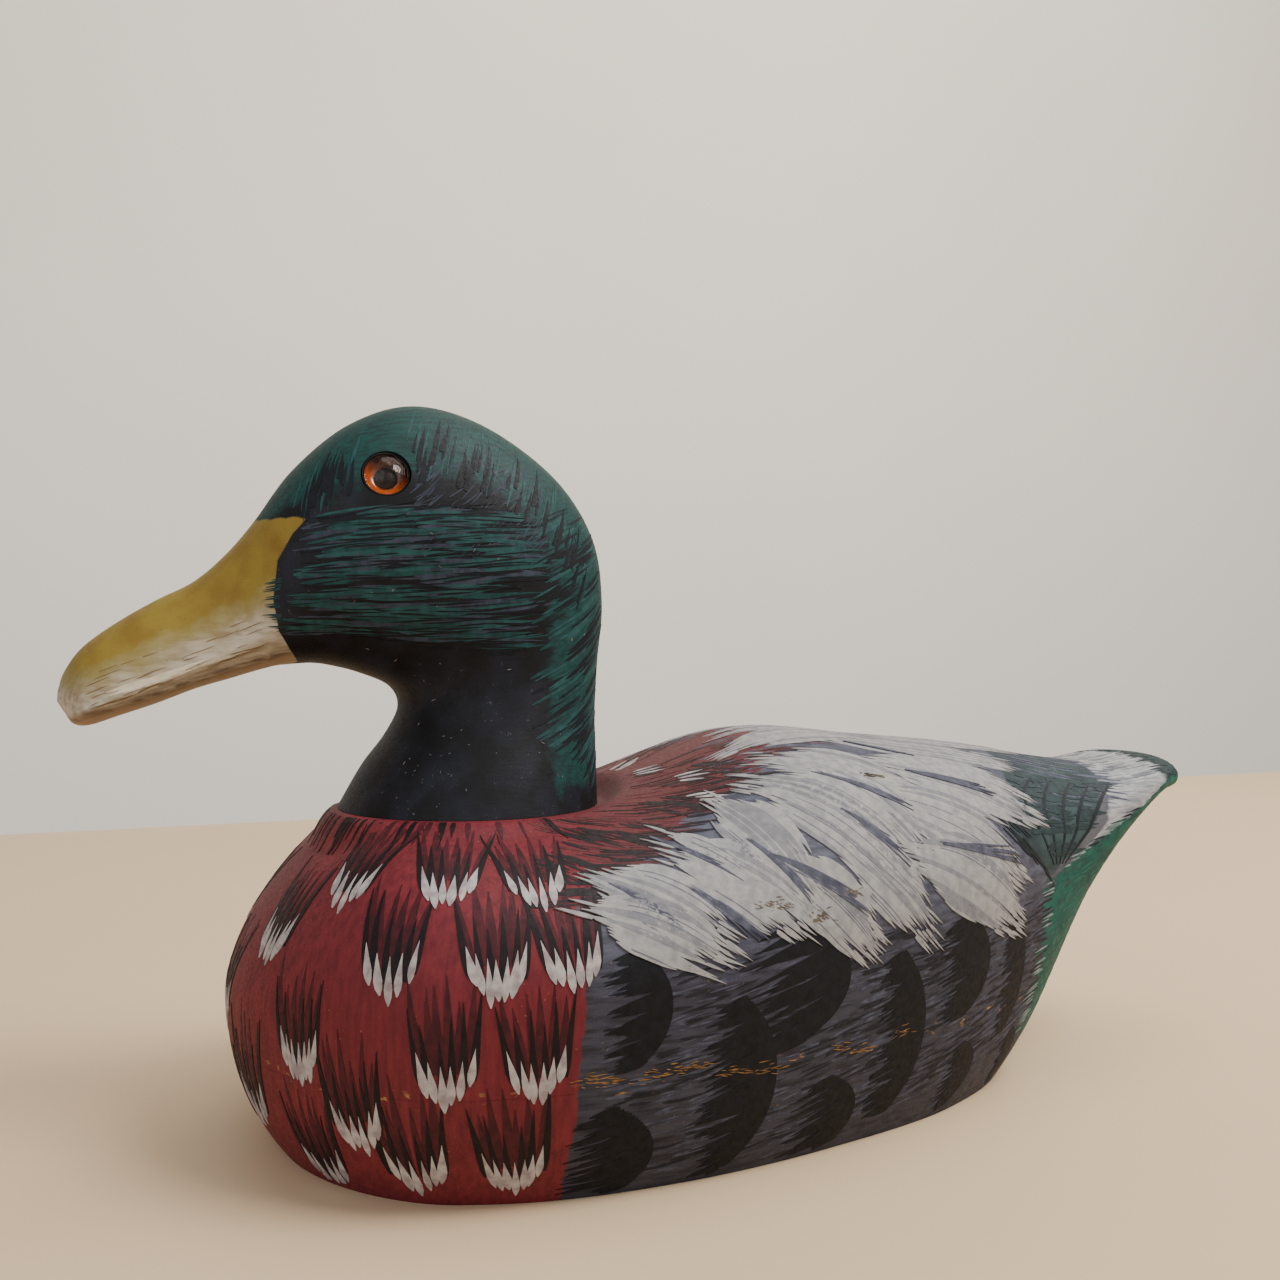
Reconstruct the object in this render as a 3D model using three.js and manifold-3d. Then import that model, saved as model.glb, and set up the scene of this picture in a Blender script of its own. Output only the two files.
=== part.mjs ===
// A floating duck decoy: a hollow body of two glued boards, a carved head that turns on a
// wooden dowel, glass eyes, a ballast weight and a folding line ring under the breast.
//
// Millimetres, +Z up. The duck looks along -Y and its left side is +X. Lengths along the duck
// are measured back from the front of the breast, and the finished group is moved so that the
// origin lies under the middle of the whole decoy, on the surface it stands on.
import * as THREE from 'three';
import { mergeVertices } from 'three/addons/utils/BufferGeometryUtils.js';
import Module from 'manifold-3d';

const wasm = await Module();
wasm.setup();

// Driving dimensions
const bodyLength = 276.5;
const billTipBack = -36.3;
const billTipHeight = 104.3;
const midLength = (bodyLength + billTipBack) / 2;
const boardThickness = 25.4;
const wallThickness = 15;
const gap = 0.3;
const neckBack = 58;
const neckRadius = 32.2;
const seatHeight = 77;
const eyeDiameter = 10;

// Body shape
const noseRadius = 43;
const tailRadius = 10;
const bodyRoundness = 2.3;
const seatFlatRadius = neckRadius + gap;
const seatBlendRadius = 40;

// Body stations: distance back, half width, height of the widest level, top of the back, and
// the depth that the sides would close at if the flat bottom didn't cut them off.
const bodyStations = [
  [0, 52, 34, 65.5, -17],
  [30, 61.5, 38.5, 78, -17],
  [60, 68, 41.5, 78.5, -26],
  [94, 68.5, 42.5, 82, -30],
  [133, 63, 46, 93.8, -30],
  [172, 53, 50.5, 91.2, -23.5],
  [206, 39, 55, 87.6, 0],
  [228, 31.5, 62.5, 83.8, 38.5],
  [246, 27, 70.5, 82, 60.5],
  [263, 21.5, 77.3, 83.8, 71.5],
  [bodyLength, 14, 77, 82, 72],
];

// The last head station: the round foot of the neck, just above the seat
const neckFootHeight = seatHeight + gap;
const neckFront = neckBack - neckRadius;
const neckRear = neckBack + neckRadius;
const neckStation = [18, neckFront, neckFootHeight, neckRear, neckFootHeight, neckRadius, 0, 2, 2];

// Head stations from the bill tip to the neck: station number, throat edge back and up, crown
// edge back and up, half width, widest level (-1 throat, 1 crown), roundness above and below.
const headStations = [
  [0, -34.8, 101.9, -36.1, 106.8, 4.5, 0, 2, 2],
  [1, -32.8, 99.2, -34.8, 110.9, 9, -0.3, 1.9, 2.2],
  [2, -29.5, 98.8, -31.2, 116.2, 12.6, -0.45, 1.9, 2.4],
  [3, -23.1, 100.9, -24.6, 121.5, 13.6, -0.5, 1.9, 2.6],
  [4, -15.3, 103.5, -15.8, 127, 13.2, -0.5, 1.9, 2.6],
  [5, -7, 106.7, -7.3, 131.6, 13, -0.45, 1.9, 2.6],
  [6, 0.8, 109, -0.1, 138.2, 13.6, -0.4, 1.95, 2.6],
  [7, 7.1, 110.9, 6.1, 145.9, 15.6, -0.28, 2, 2.5],
  [8, 10.9, 111.9, 15.1, 158.7, 18.3, -0.2, 2.1, 2.3],
  [9, 13.6, 112.2, 28.3, 170.2, 20.8, -0.15, 2.15, 2.2],
  [10, 16.2, 112.4, 43.8, 175.4, 22.6, -0.1, 2.2, 2.2],
  [11, 19.8, 112.5, 61.4, 171.3, 23.6, -0.05, 2.2, 2.2],
  [12, 24.4, 111.8, 79.4, 159.2, 23.6, 0, 2.15, 2.2],
  [13, 31, 110, 89.6, 144.2, 22.8, 0, 2.1, 2.2],
  [14, 38.2, 106.7, 92.2, 128, 22.2, 0, 2.05, 2.1],
  [15, 40.4, 101.5, 90.9, 113, 22.8, 0, 2, 2],
  [16, 37.1, 94.5, 90, 99.6, 25.2, 0, 2, 2],
  [17, 31.6, 87.2, 90.1, 87, 28.8, 0, 2, 2],
  neckStation,
];

// Mesh fineness
const bodyRows = 34;
const bodyColumns = 40;
const hollowRows = 14;
const hollowColumns = 24;
const headRows = 42;
const headColumns = 32;
const roundSides = 24;
const screwSides = 16;
const pinSides = 12;
const wireSides = 8;

const paintedWood = new THREE.MeshStandardMaterial({ color: 0x4a2a30, roughness: 0.7, metalness: 0 });
const bottomPaint = new THREE.MeshStandardMaterial({ color: 0x3a3a42, roughness: 0.7, metalness: 0 });
const headPaint = new THREE.MeshStandardMaterial({ color: 0x1e4b44, roughness: 0.6, metalness: 0 });
const bareWood = new THREE.MeshStandardMaterial({ color: 0xc8a577, roughness: 0.8, metalness: 0 });
const steel = new THREE.MeshStandardMaterial({ color: 0x9a9a98, roughness: 0.35, metalness: 1 });
const lead = new THREE.MeshStandardMaterial({ color: 0x6f7276, roughness: 0.6, metalness: 1 });
const brass = new THREE.MeshStandardMaterial({ color: 0xb08d46, roughness: 0.35, metalness: 1 });
const clearGlass = new THREE.MeshStandardMaterial({
  color: 0xf4efe6,
  roughness: 0.05,
  metalness: 0,
  transparent: true,
  opacity: 0.35,
});
const amber = new THREE.MeshStandardMaterial({ color: 0xa5541a, roughness: 0.3, metalness: 0 });
const blackEnamel = new THREE.MeshStandardMaterial({ color: 0x0c0a0a, roughness: 0.3, metalness: 0 });
const putty = new THREE.MeshStandardMaterial({ color: 0x17191c, roughness: 0.8, metalness: 0 });

// Smooth value of one column of a station table: a cubic through the stations, with slopes
// taken from the neighbouring stations.
function stationValue(stations, column, at) {
  const last = stations.length - 1;
  const slopeAfter = (i) => (stations[i + 1][column] - stations[i][column])
    / (stations[i + 1][0] - stations[i][0]);
  const slopeAt = (i) => {
    if (i === 0) return slopeAfter(0);
    if (i === last) return slopeAfter(last - 1);
    const before = stations[i][0] - stations[i - 1][0];
    const after = stations[i + 1][0] - stations[i][0];
    return (slopeAfter(i - 1) * after + slopeAfter(i) * before) / (before + after);
  };
  const place = Math.min(Math.max(at, stations[0][0]), stations[last][0]);
  let i = 0;
  while (i < last - 1 && place >= stations[i + 1][0]) i += 1;
  const span = stations[i + 1][0] - stations[i][0];
  const t = (place - stations[i][0]) / span;
  const start = stations[i][column];
  const end = stations[i + 1][column];
  const startSlope = span * slopeAt(i);
  const endSlope = span * slopeAt(i + 1);
  const startPart = (2 * t ** 3 - 3 * t ** 2 + 1) * start + (t ** 3 - 2 * t ** 2 + t) * startSlope;
  const endPart = (3 * t ** 2 - 2 * t ** 3) * end + (t ** 3 - t ** 2) * endSlope;
  return startPart + endPart;
}

const signedPower = (value, power) => Math.sign(value) * Math.abs(value) ** power;

const roundedEnd = (distance, radius) => {
  const short = Math.max(0, 1 - distance / radius);
  return Math.sqrt(1 - short * short);
};

const smoothStep = (value) => {
  const t = Math.min(Math.max(value, 0), 1);
  return t * t * (3 - 2 * t);
};

// A closed surface over rings of points, with a single point at each end.
function loft(rings, startPoint, endPoint) {
  const columns = rings[0].length;
  const points = [startPoint, ...rings.flat(), endPoint];
  const endIndex = points.length - 1;
  const at = (row, column) => 1 + row * columns + (column % columns);
  const faces = [];
  for (let column = 0; column < columns; column += 1) {
    faces.push(0, at(0, column), at(0, column + 1));
    faces.push(endIndex, at(rings.length - 1, column + 1), at(rings.length - 1, column));
    for (let row = 0; row < rings.length - 1; row += 1) {
      faces.push(at(row, column), at(row + 1, column), at(row + 1, column + 1));
      faces.push(at(row, column), at(row + 1, column + 1), at(row, column + 1));
    }
  }
  const geometry = new THREE.BufferGeometry().setFromPoints(points);
  geometry.setIndex(faces);
  return geometry;
}

// The body's outside when inset is 0, and the hollow inside it otherwise. The top of the
// outside is flattened round the neck into a seat for the head.
function bodyGeometry({ inset, front, rear, nose, tail, rows, columns }) {
  const value = (column, back) => stationValue(bodyStations, column, back);
  const ring = (back) => {
    const cap = roundedEnd(back - front, nose) * roundedEnd(rear - back, tail);
    const widest = value(2, back);
    const halfWidth = (value(1, back) - inset) * cap;
    const rise = (value(3, back) - inset - widest) * cap;
    const drop = (widest - value(4, back) - inset) * cap;
    return Array.from({ length: columns }, (_, column) => {
      const angle = (2 * Math.PI * column) / columns;
      const x = halfWidth * signedPower(Math.cos(angle), 2 / bodyRoundness);
      const side = signedPower(Math.sin(angle), 2 / bodyRoundness);
      const z = widest + (side > 0 ? rise : drop) * side;
      const fromNeck = Math.hypot(x, back - neckBack);
      const blend = smoothStep((seatBlendRadius - fromNeck) / (seatBlendRadius - seatFlatRadius));
      const seated = inset === 0 && side > 0 ? z + (seatHeight - z) * blend : z;
      return new THREE.Vector3(x, back, seated);
    });
  };
  const length = rear - front;
  const rings = [];
  for (let row = 1; row < rows; row += 1) {
    rings.push(ring(front + (length * (1 - Math.cos((Math.PI * row) / rows))) / 2));
  }
  const startPoint = new THREE.Vector3(0, front, value(2, front));
  const endPoint = new THREE.Vector3(0, rear, value(2, rear));
  return loft(rings, startPoint, endPoint);
}

function headGeometry() {
  const lastStation = headStations.length - 1;
  const ring = (station) => {
    const value = (column) => stationValue(headStations, column, station);
    const throat = new THREE.Vector3(0, value(1), value(2));
    const crown = new THREE.Vector3(0, value(3), value(4));
    const widest = value(6);
    return Array.from({ length: headColumns }, (_, column) => {
      const angle = (2 * Math.PI * column) / headColumns;
      const upper = Math.sin(angle) > 0;
      const power = 2 / value(upper ? 7 : 8);
      const side = signedPower(Math.sin(angle), power);
      const level = widest + (upper ? 1 - widest : 1 + widest) * side;
      const point = throat.clone().lerp(crown, (level + 1) / 2);
      point.x = value(5) * signedPower(Math.cos(angle), power);
      return point;
    });
  };
  const rings = [];
  for (let row = 0; row <= headRows; row += 1) rings.push(ring((lastStation * row) / headRows));
  const billTip = new THREE.Vector3(0, billTipBack, billTipHeight);
  const neckCentre = new THREE.Vector3(0, neckBack, seatHeight + gap);
  return loft(rings, billTip, neckCentre);
}

function toSolid(geometry) {
  const bare = geometry.clone();
  bare.deleteAttribute('normal');
  bare.deleteAttribute('uv');
  const merged = mergeVertices(bare, 1e-4);
  const vertProperties = Float32Array.from(merged.attributes.position.array);
  const triVerts = Uint32Array.from(merged.index.array);
  return new wasm.Manifold(new wasm.Mesh({ numProp: 3, vertProperties, triVerts }));
}

function toGeometry(solid) {
  const mesh = solid.getMesh();
  const geometry = new THREE.BufferGeometry();
  geometry.setAttribute('position', new THREE.BufferAttribute(mesh.vertProperties, 3));
  geometry.setIndex(new THREE.BufferAttribute(mesh.triVerts, 1));
  geometry.computeVertexNormals();
  return geometry;
}

const cut = (solid, tools) => tools.reduce((rest, tool) => rest.subtract(tool), solid);

function box(low, high) {
  const geometry = new THREE.BoxGeometry(high[0] - low[0], high[1] - low[1], high[2] - low[2]);
  return geometry.translate((low[0] + high[0]) / 2, (low[1] + high[1]) / 2, (low[2] + high[2]) / 2);
}

// An upright round bar between two heights.
function bar(radius, bottom, top, x = 0, back = 0, sides = roundSides) {
  const geometry = new THREE.CylinderGeometry(radius, radius, top - bottom, sides);
  return geometry.rotateX(Math.PI / 2).translate(x, back, (bottom + top) / 2);
}

// A body turned about the upright axis from [radius, height] points.
function turned(profile, x = 0, back = 0, sides = roundSides) {
  const points = profile.map(([radius, height]) => new THREE.Vector2(radius, height));
  return new THREE.LatheGeometry(points, sides).rotateX(Math.PI / 2).translate(x, back, 0);
}

// An upright block with round ends, lying along the duck.
function roundEndedBlock(length, width, bottom, top, back) {
  const radius = width / 2;
  const straight = length / 2 - radius;
  const outline = new THREE.Shape();
  outline.absarc(0, straight, radius, 0, Math.PI, false);
  outline.absarc(0, -straight, radius, Math.PI, 2 * Math.PI, false);
  const geometry = new THREE.ExtrudeGeometry(outline, {
    depth: top - bottom,
    bevelEnabled: false,
    curveSegments: 10,
  });
  return geometry.translate(0, back, bottom);
}

const decoy = new THREE.Group();
decoy.position.y = -midLength;

function add(name, geometry, material, parent = decoy) {
  const mesh = new THREE.Mesh(geometry, material);
  mesh.name = name;
  parent.add(mesh);
  return mesh;
}

// How far a cutting tool runs past the surface that it opens
const toolOverrun = 10;

// Hollow inside the upper board, behind the solid wood that holds the neck dowel
const hollowFront = 76;
const hollowRear = 192;
const hollowNoseRadius = 30;
const hollowTailRadius = 26;

// Neck: a dowel glued into the head turns stiffly in a blind bore in the body.
const dowelRadius = 8;
const dowelTop = 106;
const neckBoreBottom = 44;

// Seam dowels: [name, sideways, back]
const seamDowelRadius = 3.5;
const seamDowelRise = 12;
const seamDowelDrop = 8;
const seamDowels = [
  ['seam_dowel_front', 0, 13],
  ['seam_dowel_rear', 0, 200],
  ['seam_dowel_left', 59.5, 84],
  ['seam_dowel_right', -59.5, 84],
];

// Ballast weight, let into the bottom
const ballastLength = 84;
const ballastWidth = 34;
const ballastBack = 118;
const ballastBottom = 0.4;
const ballastTop = 5.8;
const ballastScrewSpread = 25;
const ballastScrewTop = 17;
const ballastScrewRadius = 1.75;
const ballastScrewHeadRadius = 4;
const ballastScrewRim = 0.5;
const ballastScrewCone = 3;
const ballastScrewPoint = 2.5;
const ballastScrewBottom = ballastBottom + 0.1;

// Line ring and its screw eye, in a pocket under the breast
const pocketFront = 22;
const pocketRear = 56;
const pocketHalfWidth = 14;
const pocketDepth = 11;
const screwEyeBack = 32;
const screwEyeHeight = 5.2;
const screwEyeRadius = 3.3;
const screwEyeWire = 0.9;
const screwEyeShankRadius = 1.5;
const screwEyePoint = 3;
const screwEyeTop = 22;
const ringRadius = 9;
const ringWire = 1.1;
const ringPivotHeight = screwEyeHeight - 0.9;
const ringTipClearance = 0.1;
const ringRestAngle = Math.asin((ringPivotHeight - ringWire - ringTipClearance) / (2 * ringRadius));

function addBody() {
  const hull = toSolid(bodyGeometry({
    inset: 0,
    front: 0,
    rear: bodyLength,
    nose: noseRadius,
    tail: tailRadius,
    rows: bodyRows,
    columns: bodyColumns,
  }));
  const hollow = toSolid(bodyGeometry({
    inset: wallThickness,
    front: hollowFront,
    rear: hollowRear,
    nose: hollowNoseRadius,
    tail: hollowTailRadius,
    rows: hollowRows,
    columns: hollowColumns,
  }));
  const reach = 2 * bodyLength;
  const seamLow = boardThickness - gap / 2;
  const seamHigh = boardThickness + gap / 2;
  const lowerSlab = toSolid(box([-reach, -reach, 0], [reach, reach, seamLow]));
  const upperSlab = toSolid(box([-reach, -reach, seamHigh], [reach, reach, reach]));
  const dowelHoles = seamDowels.map(([, x, back]) => toSolid(bar(
    seamDowelRadius + gap,
    boardThickness - seamDowelDrop - gap,
    boardThickness + seamDowelRise + gap,
    x,
    back,
    pinSides,
  )));
  const seatTop = seatHeight + toolOverrun;
  const neckBore = toSolid(bar(dowelRadius + gap, neckBoreBottom, seatTop, 0, neckBack));
  const neckSeat = toSolid(bar(neckRadius + gap, seatHeight, seatTop, 0, neckBack, headColumns));
  const upper = cut(hull.intersect(upperSlab), [hollow, ...dowelHoles, neckBore, neckSeat]);
  add('body_upper', toGeometry(upper), paintedWood);

  const ballastRecess = toSolid(roundEndedBlock(
    ballastLength + 2 * gap,
    ballastWidth + 2 * gap,
    -toolOverrun,
    ballastTop + gap,
    ballastBack,
  ));
  const pocket = toSolid(box(
    [-pocketHalfWidth, pocketFront, -toolOverrun],
    [pocketHalfWidth, pocketRear, pocketDepth],
  ));
  const screwEyeHole = toSolid(bar(
    screwEyeShankRadius + gap,
    0,
    screwEyeTop + gap,
    0,
    screwEyeBack,
    pinSides,
  ));
  const ballastPilots = [-ballastScrewSpread, ballastScrewSpread].map((offset) => toSolid(bar(
    ballastScrewRadius + gap,
    ballastTop,
    ballastScrewTop + gap,
    0,
    ballastBack + offset,
    pinSides,
  )));
  const lower = cut(
    hull.intersect(lowerSlab),
    [...dowelHoles, ballastRecess, pocket, screwEyeHole, ...ballastPilots],
  );
  add('body_lower', toGeometry(lower), bottomPaint);
  for (const [name, x, back] of seamDowels) {
    const low = boardThickness - seamDowelDrop;
    add(name, bar(seamDowelRadius, low, boardThickness + seamDowelRise, x, back, pinSides), bareWood);
  }
}

// A countersunk wood screw driven upwards; grow widens it into the hole it sits in.
function countersunkScrew(back, grow) {
  const bottom = ballastScrewBottom - grow;
  return turned([
    [0, bottom],
    [ballastScrewHeadRadius + grow, bottom],
    [ballastScrewHeadRadius + grow, bottom + ballastScrewRim + grow],
    [ballastScrewRadius + grow, bottom + ballastScrewCone],
    [ballastScrewRadius + grow, ballastScrewTop - ballastScrewPoint + grow],
    [0, ballastScrewTop + grow],
  ], 0, back, screwSides);
}

function addBallast() {
  const places = [
    ['ballast_screw_front', ballastBack - ballastScrewSpread],
    ['ballast_screw_rear', ballastBack + ballastScrewSpread],
  ];
  const slab = toSolid(roundEndedBlock(
    ballastLength,
    ballastWidth,
    ballastBottom,
    ballastTop,
    ballastBack,
  ));
  const holes = places.map(([, back]) => toSolid(countersunkScrew(back, gap)));
  add('ballast_weight', toGeometry(cut(slab, holes)), lead);
  for (const [name, back] of places) add(name, countersunkScrew(back, 0), steel);
}

function addLineRing() {
  const loop = new THREE.TorusGeometry(screwEyeRadius, screwEyeWire, wireSides, roundSides);
  loop.rotateY(Math.PI / 2).translate(0, screwEyeBack, screwEyeHeight);
  const shankBottom = screwEyeHeight + screwEyeRadius - screwEyeWire / 2;
  const shank = turned([
    [0, shankBottom],
    [screwEyeShankRadius, shankBottom],
    [screwEyeShankRadius, screwEyeTop - screwEyePoint],
    [0, screwEyeTop],
  ], 0, screwEyeBack, pinSides);
  add('line_screw_eye', toGeometry(toSolid(loop).add(toSolid(shank))), brass);

  const swing = new THREE.Group();
  swing.position.set(0, screwEyeBack, ringPivotHeight);
  swing.rotation.x = -ringRestAngle;
  decoy.add(swing);
  const ring = new THREE.TorusGeometry(ringRadius, ringWire, wireSides, roundSides);
  ring.translate(0, ringRadius, 0);
  add('line_ring', ring, brass, swing);
}

function addNeckDowel() {
  add('neck_dowel', bar(dowelRadius, neckBoreBottom + gap, dowelTop, 0, neckBack), bareWood);
}

// Eyes: a glass dome over an amber ring and a black pupil, on a wire stem, bedded in putty.
// Each eye is built upright about its own axis and then turned to look out of the head.
const eyeRadius = eyeDiameter / 2;
const eyePlace = { side: 19.6, back: 33.8, height: 156.1 };
const eyeFacing = { side: 0.946, back: -0.122, height: 0.299 };
const glassBack = -2.4;
const domeHeight = 2.2;
const domeRim = 0.2;
const irisTop = glassBack - gap;
const irisThickness = 0.6;
const irisBottom = irisTop - irisThickness;
const pupilRadius = 2.3;
const puttyInner = eyeRadius + gap;
const puttyOuter = puttyInner + 0.7;
const puttyLip = 0.1;
const puttyFloorTop = irisBottom - gap;
const puttyFloor = puttyFloorTop - 0.9;
const wireRadius = 0.5;
const wireEnd = -14;

function domeProfile() {
  const steps = 6;
  const rise = domeHeight - domeRim;
  const sphereRadius = (eyeRadius ** 2 + rise ** 2) / (2 * rise);
  const fullAngle = Math.asin(eyeRadius / sphereRadius);
  const profile = [[0, glassBack], [eyeRadius, glassBack]];
  for (let step = 0; step < steps; step += 1) {
    const angle = fullAngle * (1 - step / steps);
    const height = domeHeight - sphereRadius + sphereRadius * Math.cos(angle);
    profile.push([sphereRadius * Math.sin(angle), height]);
  }
  profile.push([0, domeHeight]);
  return profile;
}

function eyeFrame(mirror) {
  const group = new THREE.Group();
  group.position.set(mirror * eyePlace.side, eyePlace.back, eyePlace.height);
  const facing = new THREE.Vector3(mirror * eyeFacing.side, eyeFacing.back, eyeFacing.height);
  group.quaternion.setFromUnitVectors(new THREE.Vector3(0, 0, 1), facing.normalize());
  group.updateMatrix();
  return group;
}

function addEye(name, mirror) {
  const frame = eyeFrame(mirror);
  decoy.add(frame);
  add(`eye_glass_${name}`, turned(domeProfile()), clearGlass, frame);
  add(`eye_iris_${name}`, turned([
    [pupilRadius + gap, irisBottom],
    [eyeRadius, irisBottom],
    [eyeRadius, irisTop],
    [pupilRadius + gap, irisTop],
    [pupilRadius + gap, irisBottom],
  ]), amber, frame);
  add(`eye_pupil_${name}`, bar(pupilRadius, irisBottom, irisTop, 0, 0, 20), blackEnamel, frame);
  add(`eye_wire_${name}`, bar(wireRadius, wireEnd, irisBottom - gap, 0, 0, wireSides), steel, frame);
  add(`eye_putty_${name}`, turned([
    [wireRadius + gap, puttyFloor],
    [puttyOuter, puttyFloor],
    [puttyOuter, puttyLip],
    [puttyInner, 3 * puttyLip],
    [puttyInner, puttyFloorTop],
    [wireRadius + gap, puttyFloorTop],
    [wireRadius + gap, puttyFloor],
  ]), putty, frame);
}

function addHead() {
  const socketTools = [1, -1].flatMap((mirror) => {
    const { matrix } = eyeFrame(mirror);
    const socket = bar(puttyOuter + gap, puttyFloor - gap, toolOverrun).applyMatrix4(matrix);
    const stemHole = bar(wireRadius + gap, wireEnd - gap, puttyFloor, 0, 0, wireSides);
    return [toSolid(socket), toSolid(stemHole.applyMatrix4(matrix))];
  });
  const dowelHole = toSolid(bar(
    dowelRadius + gap,
    seatHeight - toolOverrun,
    dowelTop + gap,
    0,
    neckBack,
  ));
  const head = cut(toSolid(headGeometry()), [...socketTools, dowelHole]);
  add('head', toGeometry(head), headPaint);
  addNeckDowel();
  addEye('left', 1);
  addEye('right', -1);
}

addBody();
addBallast();
addLineRing();
addHead();

export default decoy;
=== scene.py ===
"""A floating duck decoy: fine carved surfaces, brush-stroke paint, glass eyes and brass fittings.

Everything is in the row frame, in metres: +Z up, the duck looks along -Y and its left side is +X.
The shape tables are in millimetres, measured back from the front of the breast; `place` turns
them into the row frame.
"""

import math
import random

import bmesh
import bpy
import numpy as np
from mathutils import Matrix, Vector
from mathutils.bvhtree import BVHTree


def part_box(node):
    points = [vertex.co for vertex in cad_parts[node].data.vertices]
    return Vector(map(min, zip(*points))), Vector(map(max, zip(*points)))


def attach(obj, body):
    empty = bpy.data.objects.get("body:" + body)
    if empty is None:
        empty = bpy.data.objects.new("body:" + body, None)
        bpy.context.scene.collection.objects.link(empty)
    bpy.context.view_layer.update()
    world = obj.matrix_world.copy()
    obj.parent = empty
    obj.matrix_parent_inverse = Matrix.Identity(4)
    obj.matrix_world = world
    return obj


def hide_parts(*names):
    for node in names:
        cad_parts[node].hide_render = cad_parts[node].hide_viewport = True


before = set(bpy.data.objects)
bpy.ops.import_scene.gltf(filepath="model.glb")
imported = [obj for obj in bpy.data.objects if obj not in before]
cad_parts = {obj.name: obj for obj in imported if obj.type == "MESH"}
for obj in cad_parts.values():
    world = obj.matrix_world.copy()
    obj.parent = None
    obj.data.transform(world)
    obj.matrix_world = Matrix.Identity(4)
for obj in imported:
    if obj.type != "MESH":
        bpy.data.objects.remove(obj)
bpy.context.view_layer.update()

MM = 0.001
BREAST_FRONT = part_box("body_upper")[0][1]
SEAM_HEIGHT = (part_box("body_upper")[0][2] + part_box("body_lower")[1][2]) / 2 / MM
BODY_LENGTH = (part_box("body_upper")[1][1] - BREAST_FRONT) / MM
SEAT_HEIGHT = 77.0
NECK_BACK = 58.0
NECK_RADIUS = 32.2
NOSE_RADIUS = 43.0
TAIL_RADIUS = 10.0
BODY_ROUNDNESS = 2.3
SEAT_BLEND_RADIUS = 40.0
BILL_TIP = (-36.3, 104.3)

# Distance back, half width, widest level, top of the back, depth where the sides would close.
BODY_STATIONS = np.array([
    (0, 52, 34, 65.5, -17),
    (30, 61.5, 38.5, 78, -17),
    (60, 68, 41.5, 78.5, -26),
    (94, 68.5, 42.5, 82, -30),
    (133, 63, 46, 93.8, -30),
    (172, 53, 50.5, 91.2, -23.5),
    (206, 39, 55, 87.6, 0),
    (228, 31.5, 62.5, 83.8, 38.5),
    (246, 27, 70.5, 82, 60.5),
    (263, 21.5, 77.3, 83.8, 71.5),
    (276.5, 14, 77, 82, 72),
])

# Station number from the bill tip, throat edge back and up, crown edge back and up, half width,
# widest level (-1 throat, 1 crown), roundness above and below it.
HEAD_STATIONS = np.array([
    (0, -34.8, 101.9, -36.1, 106.8, 4.5, 0, 2, 2),
    (1, -32.8, 99.2, -34.8, 110.9, 9, -0.3, 1.9, 2.2),
    (2, -29.5, 98.8, -31.2, 116.2, 12.6, -0.45, 1.9, 2.4),
    (3, -23.1, 100.9, -24.6, 121.5, 13.6, -0.5, 1.9, 2.6),
    (4, -15.3, 103.5, -15.8, 127, 13.2, -0.5, 1.9, 2.6),
    (5, -7, 106.7, -7.3, 131.6, 13, -0.45, 1.9, 2.6),
    (6, 0.8, 109, -0.1, 138.2, 13.6, -0.4, 1.95, 2.6),
    (7, 7.1, 110.9, 6.1, 145.9, 15.6, -0.28, 2, 2.5),
    (8, 10.9, 111.9, 15.1, 158.7, 18.3, -0.2, 2.1, 2.3),
    (9, 13.6, 112.2, 28.3, 170.2, 20.8, -0.15, 2.15, 2.2),
    (10, 16.2, 112.4, 43.8, 175.4, 22.6, -0.1, 2.2, 2.2),
    (11, 19.8, 112.5, 61.4, 171.3, 23.6, -0.05, 2.2, 2.2),
    (12, 24.4, 111.8, 79.4, 159.2, 23.6, 0, 2.15, 2.2),
    (13, 31, 110, 89.6, 144.2, 22.8, 0, 2.1, 2.2),
    (14, 38.2, 106.7, 92.2, 128, 22.2, 0, 2.05, 2.1),
    (15, 40.4, 101.5, 90.9, 113, 22.8, 0, 2, 2),
    (16, 37.1, 94.5, 90, 99.6, 25.2, 0, 2, 2),
    (17, 31.6, 87.2, 90.1, 87, 28.8, 0, 2, 2),
    (18, 25.8, 77.1, 90.2, 77.1, 32.2, 0, 2, 2),
])

rng = random.Random(41)


def vary(low, high):
    return rng.uniform(low, high)


def at(mirror, side, back, up):
    """A place or a heading given for the left side, on the left (1) or on the right (-1)."""
    return Vector((side * mirror, back, up))


def rgb(red, green, blue):
    """A display colour, 0 to 255, as the linear colour that shaders take."""
    def linear(value):
        value /= 255
        return value / 12.92 if value <= 0.04045 else ((value + 0.055) / 1.055) ** 2.4
    return (linear(red), linear(green), linear(blue), 1)


# ---------------------------------------------------------------- shape

def station_value(table, column, key):
    """Smooth value of one column of a station table: a cubic with the neighbours' slopes."""
    keys = table[:, 0]
    values = table[:, column]
    key = np.clip(np.asarray(key, float), keys[0], keys[-1])
    spans = np.diff(keys)
    slopes = np.diff(values) / spans
    tangents = np.empty(len(keys))
    tangents[0] = slopes[0]
    tangents[-1] = slopes[-1]
    tangents[1:-1] = (slopes[:-1] * spans[1:] + slopes[1:] * spans[:-1]) / (spans[:-1] + spans[1:])
    i = np.clip(np.searchsorted(keys, key, side="right") - 1, 0, len(keys) - 2)
    t = (key - keys[i]) / spans[i]
    start = (2 * t**3 - 3 * t**2 + 1) * values[i] + (t**3 - 2 * t**2 + t) * spans[i] * tangents[i]
    end = (3 * t**2 - 2 * t**3) * values[i + 1] + (t**3 - t**2) * spans[i] * tangents[i + 1]
    return start + end


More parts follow.
